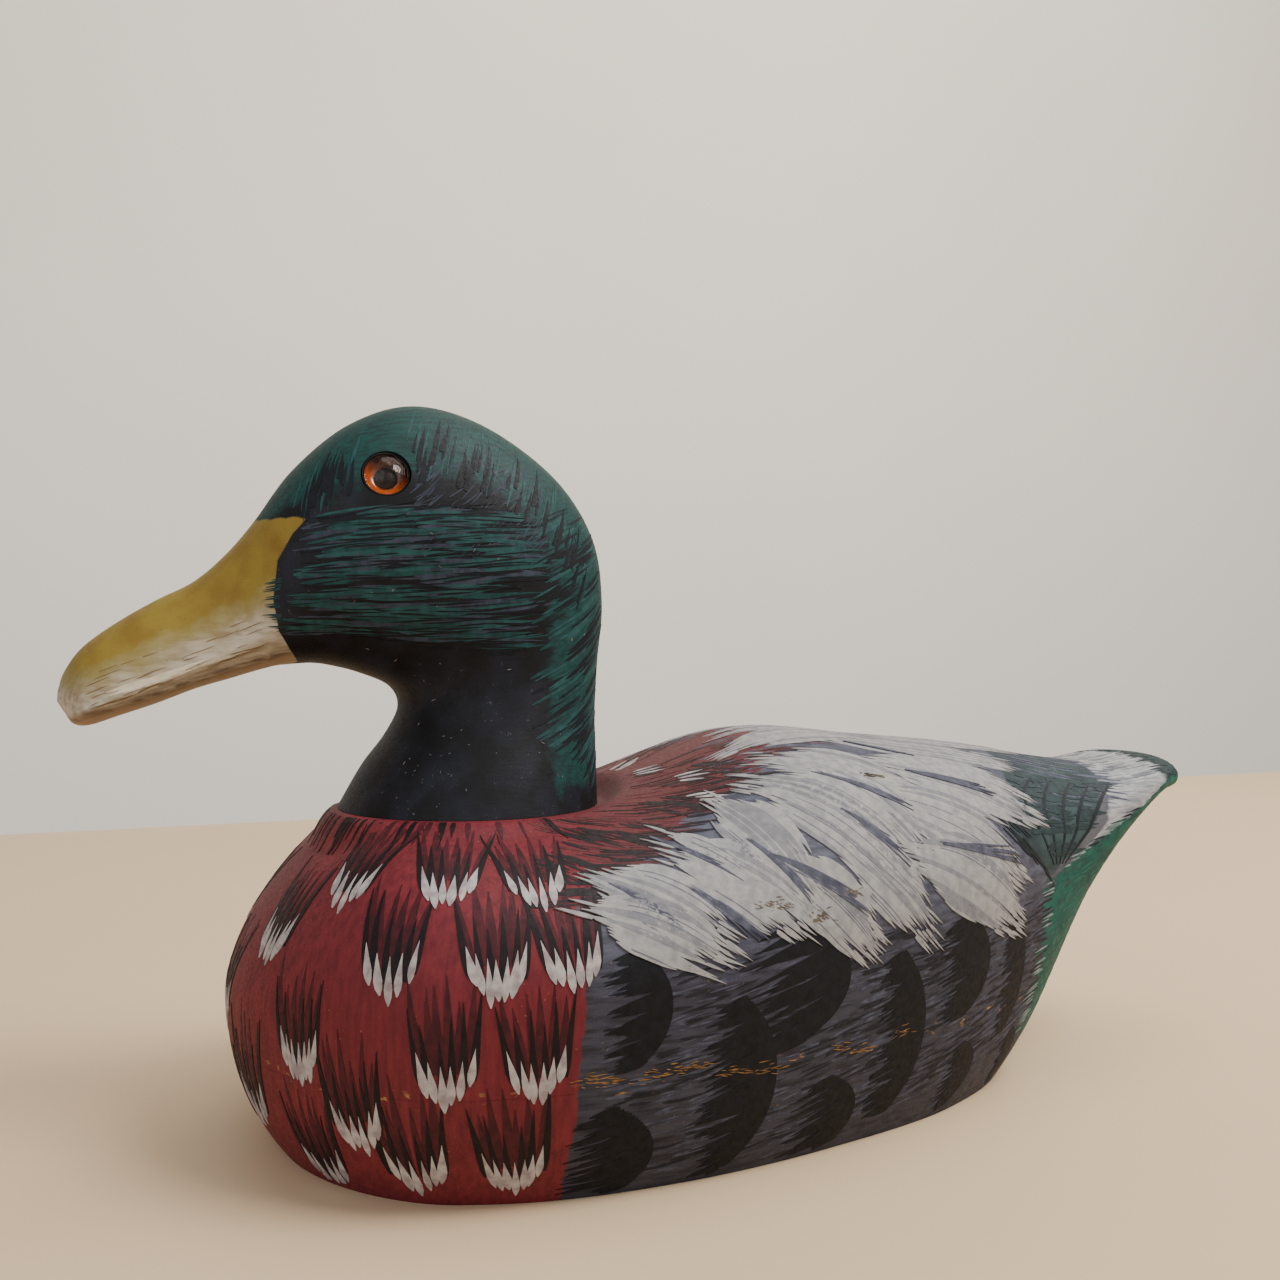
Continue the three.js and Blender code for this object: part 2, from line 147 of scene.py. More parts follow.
def signed_power(value, power):
    return np.sign(value) * np.abs(value) ** power


def rounded_end(distance, radius):
    short = np.clip(1 - distance / radius, 0, 1)
    return np.sqrt(1 - short**2)


def smooth_step(value):
    t = np.clip(value, 0, 1)
    return t * t * (3 - 2 * t)


def body_surface(back, angle, inset=0, front=0, rear=BODY_LENGTH, nose=NOSE_RADIUS, tail=TAIL_RADIUS):
    """Points of the body's outside, or of its hollow when inset is above 0, in millimetres."""
    cap = rounded_end(back - front, nose) * rounded_end(rear - back, tail)
    widest = station_value(BODY_STATIONS, 2, back)
    half_width = (station_value(BODY_STATIONS, 1, back) - inset) * cap
    rise = (station_value(BODY_STATIONS, 3, back) - inset - widest) * cap
    drop = (widest - station_value(BODY_STATIONS, 4, back) - inset) * cap
    x = half_width * signed_power(np.cos(angle), 2 / BODY_ROUNDNESS)
    side = signed_power(np.sin(angle), 2 / BODY_ROUNDNESS)
    z = widest + np.where(side > 0, rise, drop) * side
    if inset == 0:
        from_neck = np.hypot(x, back - NECK_BACK)
        flat = NECK_RADIUS + 0.3
        blend = smooth_step((SEAT_BLEND_RADIUS - from_neck) / (SEAT_BLEND_RADIUS - flat))
        z = np.where(side > 0, z + (SEAT_HEIGHT - z) * blend, z)
    return np.stack(np.broadcast_arrays(x, back, z), -1)


def body_rings(rows, columns, **limits):
    front = limits.get("front", 0)
    rear = limits.get("rear", BODY_LENGTH)
    back = front + (rear - front) * (1 - np.cos(np.pi * np.arange(1, rows) / rows)) / 2
    angle = 2 * np.pi * np.arange(columns) / columns
    return body_surface(back[:, None], angle[None, :], **limits)


# The bill's lower edge: below this level the underside steps in from the upper bill.
BILL_EDGE_LEVEL = -0.66
BILL_EDGE_STEP = 1.3
BILL_EDGE_END = 7.4


def head_surface(station, angle):
    """Points of the head's outside in millimetres; level runs from -1, throat, to 1, crown."""
    value = [station_value(HEAD_STATIONS, column, station) for column in range(9)]
    upper = np.sin(angle) > 0
    power = 2 / np.where(upper, value[7], value[8])
    side = signed_power(np.sin(angle), power)
    level = value[6] + np.where(upper, 1 - value[6], 1 + value[6]) * side
    share = (level + 1) / 2
    x = value[5] * signed_power(np.cos(angle), power)
    below = smooth_step((BILL_EDGE_LEVEL - level) / 0.05)
    along = smooth_step((station - 0.6) / 1.2) * smooth_step((BILL_EDGE_END - station) / 0.5)
    step = BILL_EDGE_STEP * below * along
    x = np.sign(x) * np.maximum(np.abs(x) - step, 0)
    lip = 0.45 * np.exp(-((level - BILL_EDGE_LEVEL - 0.1) / 0.09) ** 2) * along
    x = x + np.sign(x) * lip * (np.abs(x) > 2)
    back = value[1] + (value[3] - value[1]) * share
    up = value[2] + (value[4] - value[2]) * share
    return np.stack(np.broadcast_arrays(x, back, up), -1)


def loft(rings, start, end):
    """Points and faces of a closed surface over rings, with a single point at each end."""
    rows, columns = rings.shape[:2]
    points = np.concatenate([[start], rings.reshape(-1, 3), [end]])
    faces = []
    last = len(points) - 1
    for column in range(columns):
        beside = (column + 1) % columns
        faces.append((0, 1 + column, 1 + beside))
        faces.append((last, 1 + (rows - 1) * columns + beside, 1 + (rows - 1) * columns + column))
        for row in range(rows - 1):
            here = 1 + row * columns
            after = here + columns
            faces.append((here + column, after + column, after + beside, here + beside))
    return points, faces


# ---------------------------------------------------------------- objects

def place(points):
    """Bench millimetres to row frame metres."""
    placed = np.array(points, float) * MM
    placed[:, 1] += BREAST_FRONT
    return placed


def mesh_object(name, points, faces, smooth_angle=None):
    """A closed mesh with its faces turned outward."""
    mesh = bpy.data.meshes.new(name)
    mesh.from_pydata(place(points).tolist(), [], faces)
    shape = bmesh.new()
    shape.from_mesh(mesh)
    inside_out = shape.calc_volume(signed=True) < 0
    shape.free()
    if inside_out:
        mesh.flip_normals()
    mesh.update()
    piece = bpy.data.objects.new(name, mesh)
    bpy.context.scene.collection.objects.link(piece)
    if smooth_angle is not None:
        soften(piece, smooth_angle)
    return piece


def soften(piece, degrees):
    mesh = piece.data
    mesh.polygons.foreach_set("use_smooth", [True] * len(mesh.polygons))
    mesh.set_sharp_from_angle(angle=math.radians(degrees))


def box_tool(low, high):
    corners = [(x, y, z) for x in (low[0], high[0]) for y in (low[1], high[1]) for z in (low[2], high[2])]
    sides = [(0, 1, 3, 2), (4, 6, 7, 5), (0, 4, 5, 1), (2, 3, 7, 6), (0, 2, 6, 4), (1, 5, 7, 3)]
    return mesh_object("tool", np.array(corners), sides)


def turned(name, profile, centre, axis=(0, 0, 1), sides=48, smooth_angle=None):
    """A solid turned about an axis from (radius, height) points; a profile off the axis makes a ring."""
    turn = Vector((0, 0, 1)).rotation_difference(Vector(axis)).to_matrix()
    spin = 2 * np.pi * np.arange(sides) / sides

    def ring(radius, height):
        return np.stack([radius * np.cos(spin), radius * np.sin(spin), np.full(sides, height)], -1)

    if profile[0][0] == 0:
        rings = np.array([ring(radius, height) for radius, height in profile[1:-1]])
        points, faces = loft(rings, (0, 0, profile[0][1]), (0, 0, profile[-1][1]))
    else:
        points = np.concatenate([ring(radius, height) for radius, height in profile])
        faces = []
        for row in range(len(profile)):
            here = row * sides
            after = (row + 1) % len(profile) * sides
            for k in range(sides):
                beside = (k + 1) % sides
                faces.append((here + beside, after + beside, after + k, here + k))
    points = points @ np.array(turn).T + np.array(centre)
    return mesh_object(name, points, faces, smooth_angle)


def bar_tool(radius, bottom, top, x=0, back=0, sides=48):
    profile = [(0, bottom), (radius, bottom), (radius, top), (0, top)]
    return turned("tool", profile, (x, back, 0), sides=sides)


def carve(piece, tools, operation="DIFFERENCE"):
    """Cut the piece with each tool, or keep only what lies inside it, and drop the tools."""
    for tool in tools:
        change = piece.modifiers.new("cut", "BOOLEAN")
        change.operation = operation
        change.solver = "MANIFOLD"
        change.object = tool
        bpy.context.view_layer.update()
        shaped = piece.evaluated_get(bpy.context.evaluated_depsgraph_get())
        mesh = bpy.data.meshes.new_from_object(shaped)
        piece.modifiers.clear()
        piece.data = mesh
        bpy.data.objects.remove(tool)


def fit(piece, body, material, nodes=()):
    """Give a piece its material, let it ride on a body and stand for CAD nodes."""
    piece.data.materials.clear()
    piece.data.materials.append(material)
    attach(piece, body)
    if nodes:
        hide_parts(*nodes)


# ---------------------------------------------------------------- materials

PAINT_SHEEN = 0.22


class Coat:
    """A material around one Principled shader, worked out in bench millimetres."""

    def __init__(self, name, roughness, metallic=0.0):
        self.material = bpy.data.materials.new(name)
        self.material.use_nodes = True
        self.nodes = self.material.node_tree.nodes
        self.links = self.material.node_tree.links
        self.shader = self.nodes["Principled BSDF"]
        self.shader.inputs["Roughness"].default_value = roughness
        self.shader.inputs["Metallic"].default_value = metallic
        if metallic == 0:
            self.shader.inputs["Specular IOR Level"].default_value = PAINT_SHEEN
        source = self.nodes.new("ShaderNodeTexCoord")
        bench = self.nodes.new("ShaderNodeMapping")
        bench.inputs["Scale"].default_value = (1 / MM, 1 / MM, 1 / MM)
        bench.inputs["Location"].default_value = (0, -BREAST_FRONT / MM, 0)
        self.links.new(source.outputs["Object"], bench.inputs["Vector"])
        self.place = bench.outputs["Vector"]
        parts = self.nodes.new("ShaderNodeSeparateXYZ")
        self.links.new(self.place, parts.inputs[0])
        self.side = self.math("ABSOLUTE", parts.outputs["X"])
        self.back = parts.outputs["Y"]
        self.up = parts.outputs["Z"]

    def feed(self, socket, value):
        """Link an input to a node, or set it: a tuple is a display colour."""
        if isinstance(value, bpy.types.NodeSocket):
            self.links.new(value, socket)
        else:
            socket.default_value = rgb(*value) if isinstance(value, tuple) else value

    def math(self, operation, *values):
        node = self.nodes.new("ShaderNodeMath")
        node.operation = operation
        for socket, value in zip(node.inputs, values):
            self.feed(socket, value)
        return node.outputs[0]

    def plus(self, first, second):
        return self.math("ADD", first, second)

    def minus(self, first, second):
        return self.math("SUBTRACT", first, second)

    def times(self, first, second):
        return self.math("MULTIPLY", first, second)

    def span(self, value, low, high, start=0.0, end=1.0):
        """The value carried from low..high to start..end, and held at the ends."""
        node = self.nodes.new("ShaderNodeMapRange")
        node.interpolation_type = "LINEAR"
        for name, given in zip(("Value", "From Min", "From Max", "To Min", "To Max"),
                               (value, low, high, start, end)):
            self.feed(node.inputs[name], given)
        return node.outputs["Result"]

    def profile(self, value, points):
        """A curve of straight pieces through (value, result) points."""
        total = points[0][1]
        for (low, start), (high, end) in zip(points, points[1:]):
            total = self.plus(total, self.span(value, low, high, 0.0, end - start))
        return total

    def mix(self, share, first, second):
        node = self.nodes.new("ShaderNodeMix")
        node.data_type = "RGBA"
        self.feed(node.inputs[0], share)
        self.feed(node.inputs[6], first)
        self.feed(node.inputs[7], second)
        return node.outputs[2]

    def stretched(self, scale):
        node = self.nodes.new("ShaderNodeMapping")
        node.inputs["Scale"].default_value = scale
        self.links.new(self.place, node.inputs["Vector"])
        return node.outputs["Vector"]

    def noise(self, size, detail=3.0, stretch=None):
        """Noise from 0 to 1 with lumps of about this size in millimetres."""
        node = self.nodes.new("ShaderNodeTexNoise")
        node.inputs["Scale"].default_value = 1 / size
        node.inputs["Detail"].default_value = detail
        self.links.new(self.stretched(stretch) if stretch else self.place, node.inputs["Vector"])
        return node.outputs["Fac"]

    def colour(self, value):
        self.feed(self.shader.inputs["Base Color"], value)

    def relief(self, height, strength, depth):
        """Bump from a 0 to 1 height, in millimetres deep."""
        node = self.nodes.new("ShaderNodeBump")
        node.inputs["Strength"].default_value = strength
        node.inputs["Distance"].default_value = depth * MM
        self.feed(node.inputs["Height"], height)
        self.links.new(node.outputs["Normal"], self.shader.inputs["Normal"])

    def gloss(self, value):
        self.feed(self.shader.inputs["Roughness"], value)


def paint_material(name, colour, second, roughness=0.6):
    """Brushed acrylic: two close tints in soft patches with fine brush grain."""
    coat = Coat(name, roughness)
    patches = coat.span(coat.noise(2.5, 4.0), 0.38, 0.62)
    coat.colour(coat.mix(patches, colour, second))
    coat.gloss(coat.span(coat.noise(1.1, 2.0), 0.3, 0.7, roughness - 0.08, roughness + 0.08))
    coat.relief(coat.noise(0.35, 3.0), 0.25, 0.08)
    return coat.material


def wood_material():
    coat = Coat("bare_wood", 0.75)
    grain = coat.noise(1.6, 5.0, stretch=(1, 0.06, 1))
    rays = coat.noise(0.5, 2.0, stretch=(1, 0.04, 1))
    base = coat.mix(coat.span(grain, 0.35, 0.68), (205, 172, 128), (160, 120, 78))
    coat.colour(coat.mix(coat.span(rays, 0.6, 0.8, 0.0, 0.35), base, (120, 86, 54)))
    coat.relief(grain, 0.4, 0.25)
    return coat.material


def metal_material(name, clean, dull, roughness, size=1.5):
    coat = Coat(name, roughness, 1.0)
    tarnish = coat.span(coat.noise(size, 5.0), 0.42, 0.66)
    coat.colour(coat.mix(tarnish, clean, dull))
    coat.gloss(coat.span(coat.noise(size / 2, 3.0), 0.3, 0.7, roughness - 0.1, roughness + 0.2))
    coat.relief(coat.noise(size / 3, 3.0), 0.3, 0.1)
    return coat.material


# Display colours of the ground coats: a light and a dark tint of each.
BREAST = ((112, 37, 43), (90, 28, 35))
BREAST_DEEP = (84, 22, 30)
SHOULDER_SHADE = (78, 40, 42)
BACK = ((82, 83, 96), (58, 59, 70))
FLANK = ((56, 56, 66), (33, 33, 40))
PATCH = ((50, 66, 66), (32, 44, 46))
BAND = ((84, 84, 90), (66, 66, 74))
TAIL = ((156, 156, 156), (118, 120, 124))
UNDERTAIL = ((20, 86, 74), (12, 62, 56))
CHIP = (150, 112, 66)
HEAD_GREENS = ((12, 58, 54), (9, 38, 38))
HEAD_BLACKS = ((7, 7, 9), (20, 22, 32))

# How far back the burgundy breast reaches at each height, and where the undertail paint starts.
BREAST_BORDER = ((0, 63), (63, 66.5), (72, 88), (80, 107), (86, 121), (93, 138))
UNDERTAIL_BORDER = ((0, 200), (34, 202), (55, 205), (62, 226), (70, 246), (77, 262), (84, 292))

# The green wing patch: its fore and its rear edge at each height.
PATCH_FRONT = ((55, 206), (62, 197), (69, 189), (76, 193), (84, 201), (90, 206))
PATCH_REAR = ((55, 204), (60, 213), (65, 223), (72, 230.5), (80, 236.5), (90, 241))


def body_coat():
    """The ground coats of the body: breast, back, flank, tail and undertail."""
    coat = Coat("body_paint", 0.66)
    wobble = coat.span(coat.noise(5, 4.0), 0.3, 0.7, -1.4, 1.4)
    fine = coat.noise(0.8, 4.0)
    broad = coat.noise(9, 4.0)
    brushed = coat.noise(1.4, 4.0, stretch=(1, 1, 0.14))
    along = coat.noise(1.3, 4.0, stretch=(1, 0.12, 1))

    breast = coat.mix(coat.span(brushed, 0.36, 0.66), *BREAST)
    breast = coat.mix(coat.span(broad, 0.4, 0.75, 0.0, 0.5), breast, BREAST_DEEP)
    back = coat.mix(coat.span(along, 0.35, 0.65), *BACK)
    flank = coat.mix(coat.span(along, 0.4, 0.68), *FLANK)
    under = coat.mix(coat.span(broad, 0.35, 0.65), *UNDERTAIL)

    height = coat.plus(coat.up, coat.times(wobble, 2.0))
    ground = coat.mix(coat.span(height, 44, 58), flank, back)
    slight = coat.times(wobble, 0.6)
    place_back = coat.plus(coat.back, slight)
    past_front = coat.minus(place_back, coat.profile(coat.up, PATCH_FRONT))
    past_rear = coat.minus(place_back, coat.profile(coat.up, PATCH_REAR))
    patch = coat.mix(coat.span(broad, 0.4, 0.6), *PATCH)
    ground = coat.mix(coat.span(past_front, -0.6, 0.6), ground, patch)
    pale_tail = coat.mix(coat.span(along, 0.42, 0.6), *TAIL)
    tip = coat.span(coat.plus(coat.back, coat.times(wobble, 1.5)), 259, 262)
    pale_tail = coat.mix(tip, pale_tail, PATCH[1])
    band = coat.mix(coat.span(broad, 0.4, 0.6), *BAND)
    ground = coat.mix(coat.span(past_rear, -0.5, 0.5), ground, band)
    past_band = coat.minus(past_rear, coat.span(coat.up, 68, 78, 6.0, 0.8))
    ground = coat.mix(coat.span(past_band, -0.6, 0.6), ground, pale_tail)
    ground = coat.mix(coat.span(coat.up, 54, 58), coat.mix(coat.span(height, 44, 58), flank, back), ground)
    behind = coat.minus(coat.back, coat.profile(coat.up, UNDERTAIL_BORDER))
    behind = coat.plus(behind, coat.times(wobble, 1.5))
    ground = coat.mix(coat.span(behind, -1.5, 1.5), ground, under)
    border = coat.minus(coat.back, coat.profile(coat.up, BREAST_BORDER))
    border = coat.plus(border, coat.times(wobble, 0.45))
    shade = coat.times(coat.span(coat.back, 66, 90), coat.span(coat.up, 60, 72))
    breast = coat.mix(coat.times(shade, 0.7), breast, SHOULDER_SHADE)
    ground = coat.mix(coat.span(border, -0.35, 0.35), breast, ground)

    worn = coat.times(coat.span(fine, 0.66, 0.72), coat.span(broad, 0.5, 0.62))
    seam = coat.span(coat.math("ABSOLUTE", coat.minus(coat.up, SEAM_HEIGHT)), 0.5, 2.2, 1.0, 0.0)
    chipped = coat.times(seam, coat.span(coat.noise(2.2, 4.0, stretch=(1, 0.4, 1)), 0.6, 0.66))
    worn = coat.math("MAXIMUM", coat.times(worn, 0.55), chipped)
    coat.colour(coat.mix(worn, ground, CHIP))
    coat.gloss(coat.span(fine, 0.3, 0.7, 0.52, 0.74))
    texture = coat.plus(coat.times(fine, 0.5), coat.times(along, 0.5))
    coat.relief(texture, 0.5, 0.22)
    return coat.material


# Where the bill ends and the head begins: distance back by height, and by distance off centre.
BILL_BORDER_SIDE = (
    (105, 8), (109, 10), (113, 15.5), (116, 13), (120, 10.3), (127, 9), (136, 10), (142, 13.2),
    (147, 17.5), (160, 30),
)
BILL_BORDER_TOP = ((0, 6), (5, 6.8), (10, 9), (14, 12), (17, 15.6), (20, 21))

# Heights, by distance back, of the crown's lower edge and of the bill's lower edge.
CROWN_LINE = ((0, 143), (16, 149), (40, 158), (60, 154), (78, 138), (90, 110))
BILL_LOW_LINE = ((-36, 99), (-30, 101.3), (-20, 104.3), (0, 111.2), (14, 115.5))


def head_coat():
    """The head's ground coats: green crown, cheek and nape over a blue-black ground, and the bill."""
    coat = Coat("head_paint", 0.5)
    wobble = coat.span(coat.noise(6, 4.0), 0.3, 0.7, -2.5, 2.5)
    fine = coat.noise(0.7, 4.0)
    broad = coat.noise(8, 4.0)
    hairs = coat.noise(0.9, 4.0, stretch=(1, 0.1, 1))
    green = coat.mix(coat.span(hairs, 0.35, 0.66), *HEAD_GREENS)
    black = coat.mix(coat.span(broad, 0.4, 0.66), *HEAD_BLACKS)
    height = coat.plus(coat.up, wobble)
    crown_line = coat.profile(coat.back, CROWN_LINE)
    crown = coat.span(coat.minus(height, crown_line), -1.5, 1.5)
    ground = coat.mix(crown, black, green)
    nape_line = coat.profile(coat.up, ((79, 71), (100, 73), (118, 74), (138, 74)))
    nape = coat.span(coat.minus(coat.plus(coat.back, wobble), nape_line), -1.5, 1.5)
    rising = coat.minus(height, coat.times(coat.back, 0.45))
    nape = coat.times(nape, coat.span(rising, 46.5, 49.5))
    ground = coat.mix(nape, ground, green)

    bill_side = coat.profile(coat.up, BILL_BORDER_SIDE)
    bill_top = coat.plus(coat.profile(coat.side, BILL_BORDER_TOP),
                         coat.span(coat.up, 140, 138, 0.0, 40.0))
    border = coat.math("MINIMUM", bill_side, bill_top)
    on_bill = coat.span(coat.minus(coat.back, border), -0.12, 0.12, 1.0, 0.0)

    # The bill fades from ochre above to bone white below, along a line that rises to the rear.
    ochre = coat.mix(coat.span(broad, 0.38, 0.64), (126, 106, 38), (114, 90, 30))
    ochre = coat.mix(coat.span(coat.noise(0.6, 3.0), 0.62, 0.72, 0.0, 0.5), ochre, (98, 72, 20))
    bone = coat.mix(coat.span(coat.noise(1.2, 5.0, stretch=(1, 0.16, 0.8)), 0.42, 0.66),
                    (172, 164, 146), (138, 127, 108))
    fade_line = coat.profile(coat.back, ((-36, 108), (-30, 108.5), (-20, 113), (0, 122), (12, 129.5)))
    fade = coat.minus(coat.plus(coat.up, coat.times(wobble, 0.7)), fade_line)
    bill = coat.mix(coat.span(fade, -5, 4.5), bone, ochre)
    olive = coat.span(fade, -3, 1)
    olive = coat.times(olive, coat.span(fade, 1, 6, 1.0, 0.0))
    bill = coat.mix(coat.times(olive, 0.45), bill, (122, 112, 44))
    edge = coat.profile(coat.back, BILL_LOW_LINE)
    below = coat.minus(coat.up, edge)
    streak = coat.noise(1.0, 4.0, stretch=(1, 0.12, 0.7))
    line = coat.times(coat.span(below, -1.1, 0.2), coat.span(below, 0.2, 1.8, 1.0, 0.0))
    line = coat.times(line, coat.span(streak, 0.36, 0.56, 0.15, 0.8))
    bill = coat.mix(coat.span(below, -0.4, 0.2, 1.0, 0.0), bill, (140, 120, 94))
    bill = coat.mix(line, bill, (70, 48, 32))
    specks = coat.span(coat.noise(0.45, 2.0), 0.7, 0.74, 0.0, 0.7)
    bill = coat.mix(specks, bill, (88, 66, 36))
    ground = coat.mix(on_bill, ground, bill)

    worn = coat.times(coat.span(fine, 0.64, 0.72, 0.0, 0.6), coat.span(broad, 0.5, 0.6))
    worn = coat.times(worn, coat.minus(1.0, on_bill))
    coat.colour(coat.mix(worn, ground, (92, 80, 70)))
    coat.gloss(coat.span(fine, 0.3, 0.7, 0.5, 0.68))
    texture = coat.plus(coat.times(fine, 0.4), coat.times(hairs, 0.6))
    coat.relief(texture, 0.4, 0.18)
    return coat.material


# ---------------------------------------------------------------- body and head

BODY_ROWS = 230
BODY_COLUMNS = 240
HEAD_ROWS = 168
HEAD_COLUMNS = 150
SEAM_GAP = 0.05
SEAT_GAP = 0.3
HOLE_SIDES = 24

# Round holes: radius, bottom and top.
NECK_BORE = (8.3, 44.0, 90)
HEAD_BORE = (8.3, 60, 106.3)
SEAT_CUT = (NECK_RADIUS + SEAT_GAP, SEAT_HEIGHT, 90)
UPPER_PIN_HOLE = (3.8, 17, 37.7)
LOWER_PIN_HOLE = (3.8, 17.1, 40)
SCREW_EYE_HOLE = (1.8, 5, 22.3)
BALLAST_SCREW_HOLE = (2.05, 5, 17.3)

# Distances off centre and back of the seam dowels, and the ballast, hollow, pocket and eyes.
SEAM_DOWELS = ((0, 13), (0, 200), (59.5, 84), (-59.5, 84))
BALLAST_BACK = 118.0
BALLAST_LENGTH = 84.6
BALLAST_WIDTH = 34.6
BALLAST_TOP = 6.1
BALLAST_SCREWS = (93.0, 143.0)
HOLLOW_WALL = 15
HOLLOW_FRONT = 76
HOLLOW_REAR = 192
POCKET = ((-14, 22, -10), (14, 56, 11))
SCREW_EYE_BACK = 32.0
EYE_PLACE = (19.6, 33.8, 156.1)
EYE_FACING = (0.946, -0.122, 0.299)
EYE_SOCKET = [(0, -15), (0.8, -15), (0.8, -4.8), (5.75, -4.8), (5.75, 12), (0, 12)]

body_points, body_faces = loft(
    body_rings(BODY_ROWS, BODY_COLUMNS),
    (0, 0, station_value(BODY_STATIONS, 2, 0)),
    (0, BODY_LENGTH, station_value(BODY_STATIONS, 2, BODY_LENGTH)),
)
head_stations = (len(HEAD_STATIONS) - 1) * np.arange(HEAD_ROWS + 1) / HEAD_ROWS
head_angles = 2 * np.pi * np.arange(HEAD_COLUMNS) / HEAD_COLUMNS
head_points, head_faces = loft(
    head_surface(head_stations[:, None], head_angles[None, :]),
    (0, BILL_TIP[0], BILL_TIP[1]),
    (0, NECK_BACK, SEAT_HEIGHT + SEAT_GAP),
)


def round_block_tool(length, width, bottom, top, back):
    """An upright block with round ends, lying along the duck."""
    radius = width / 2
    straight = length / 2 - radius
    outline = []
    for end, turn in ((1, 0), (-1, math.pi)):
        for step in range(49):
            angle = turn + math.pi * step / 48
            outline.append((radius * math.cos(angle), back + end * straight + radius * math.sin(angle)))
    rings = np.array([[(x, y, z) for x, y in outline] for z in (bottom, top)])
    points, faces = loft(rings, (0, back, bottom), (0, back, top))
    return mesh_object("tool", points, faces)


def carve_body():
    upper = mesh_object("upper_board", body_points, body_faces)
    carve(upper, [box_tool((-200, -50, SEAM_HEIGHT + SEAM_GAP / 2), (200, 400, 200))], "INTERSECT")
    hollow_points, hollow_faces = loft(
        body_rings(40, 64, inset=HOLLOW_WALL, front=HOLLOW_FRONT, rear=HOLLOW_REAR, nose=30, tail=26),
        (0, HOLLOW_FRONT, station_value(BODY_STATIONS, 2, HOLLOW_FRONT)),
        (0, HOLLOW_REAR, station_value(BODY_STATIONS, 2, HOLLOW_REAR)),
    )
    tools = [mesh_object("tool", hollow_points, hollow_faces)]
    tools += [bar_tool(*UPPER_PIN_HOLE, x, back, HOLE_SIDES) for x, back in SEAM_DOWELS]
    tools.append(bar_tool(*NECK_BORE, 0, NECK_BACK))
    tools.append(bar_tool(*SEAT_CUT, 0, NECK_BACK, 96))
    carve(upper, tools)

    lower = mesh_object("lower_board", body_points, body_faces)
    carve(lower, [box_tool((-200, -50, 0), (200, 400, SEAM_HEIGHT - SEAM_GAP / 2))], "INTERSECT")
    tools = [bar_tool(*LOWER_PIN_HOLE, x, back, HOLE_SIDES) for x, back in SEAM_DOWELS]
    tools.append(round_block_tool(BALLAST_LENGTH, BALLAST_WIDTH, -5, BALLAST_TOP, BALLAST_BACK))
    tools.append(box_tool(*POCKET))
    tools.append(bar_tool(*SCREW_EYE_HOLE, 0, SCREW_EYE_BACK, HOLE_SIDES))
    tools += [bar_tool(*BALLAST_SCREW_HOLE, 0, back, HOLE_SIDES) for back in BALLAST_SCREWS]
    carve(lower, tools)
    soften(upper, 40)
    soften(lower, 40)
    return upper, lower


def eye_seat(mirror):
    """The middle of the eye on one side, and the way that it faces."""
    return at(mirror, *EYE_PLACE), at(mirror, *EYE_FACING)


def carve_head():
    head = mesh_object("carved_head", head_points, head_faces)
    tools = [bar_tool(*HEAD_BORE, 0, NECK_BACK)]
    for mirror in (1, -1):
        centre, facing = eye_seat(mirror)
        tools.append(turned("tool", EYE_SOCKET, centre, facing, 64))
    carve(head, tools)
    soften(head, 42)
    return head


coat_of_body = body_coat()
coat_of_head = head_coat()
bare_wood = wood_material()
upper_board, lower_board = carve_body()
carved_head = carve_head()
fit(upper_board, "body", coat_of_body, ["body_upper"])
fit(lower_board, "body", coat_of_body, ["body_lower"])
fit(carved_head, "head", coat_of_head, ["head"])

# The sawn underside is bare wood, and so is the line ring's pocket.
CUT_DEPTH = 12 * MM
CUT_REACH = 16 * MM
CUT_FRONT, CUT_BACK = BREAST_FRONT + 21.5 * MM, 80 * MM
lower_board.data.materials.append(bare_wood)
for face in lower_board.data.polygons:
    middle = face.center
    cut = abs(middle.x) < CUT_REACH and CUT_FRONT < middle.y < CUT_BACK
    if middle.z < CUT_DEPTH and (face.normal.z < -0.9 or cut):
        face.material_index = 1


# ---------------------------------------------------------------- stage

FLOOR_EDGE = -0.55
WALL = -1.6
CAMERA_PLACE = (0.3165, BREAST_FRONT - 0.0193, 0.118)
CAMERA_TURN = 68.7
CAMERA_LENS = 36.2


def plain_plane(name, corners, colour, roughness):
    mesh = bpy.data.meshes.new(name)
    mesh.from_pydata(corners, [], [tuple(range(len(corners)))])
    plane = bpy.data.objects.new(name, mesh)
    bpy.context.scene.collection.objects.link(plane)
    coat = Coat(name, roughness)
    coat.colour(coat.mix(coat.span(coat.noise(400, 2.0), 0.35, 0.65), colour,
                         tuple(value - 3 for value in colour)))
    mesh.materials.append(coat.material)


def area_light(name, place_at, aim, size, power, colour):
    data = bpy.data.lights.new(name, "AREA")
    data.shape = "DISK"
    data.size = size
    data.energy = power
    data.color = colour
    lamp = bpy.data.objects.new(name, data)
    lamp.location = place_at
    lamp.rotation_euler = (Vector(aim) - Vector(place_at)).to_track_quat("-Z", "Y").to_euler()
    bpy.context.scene.collection.objects.link(lamp)


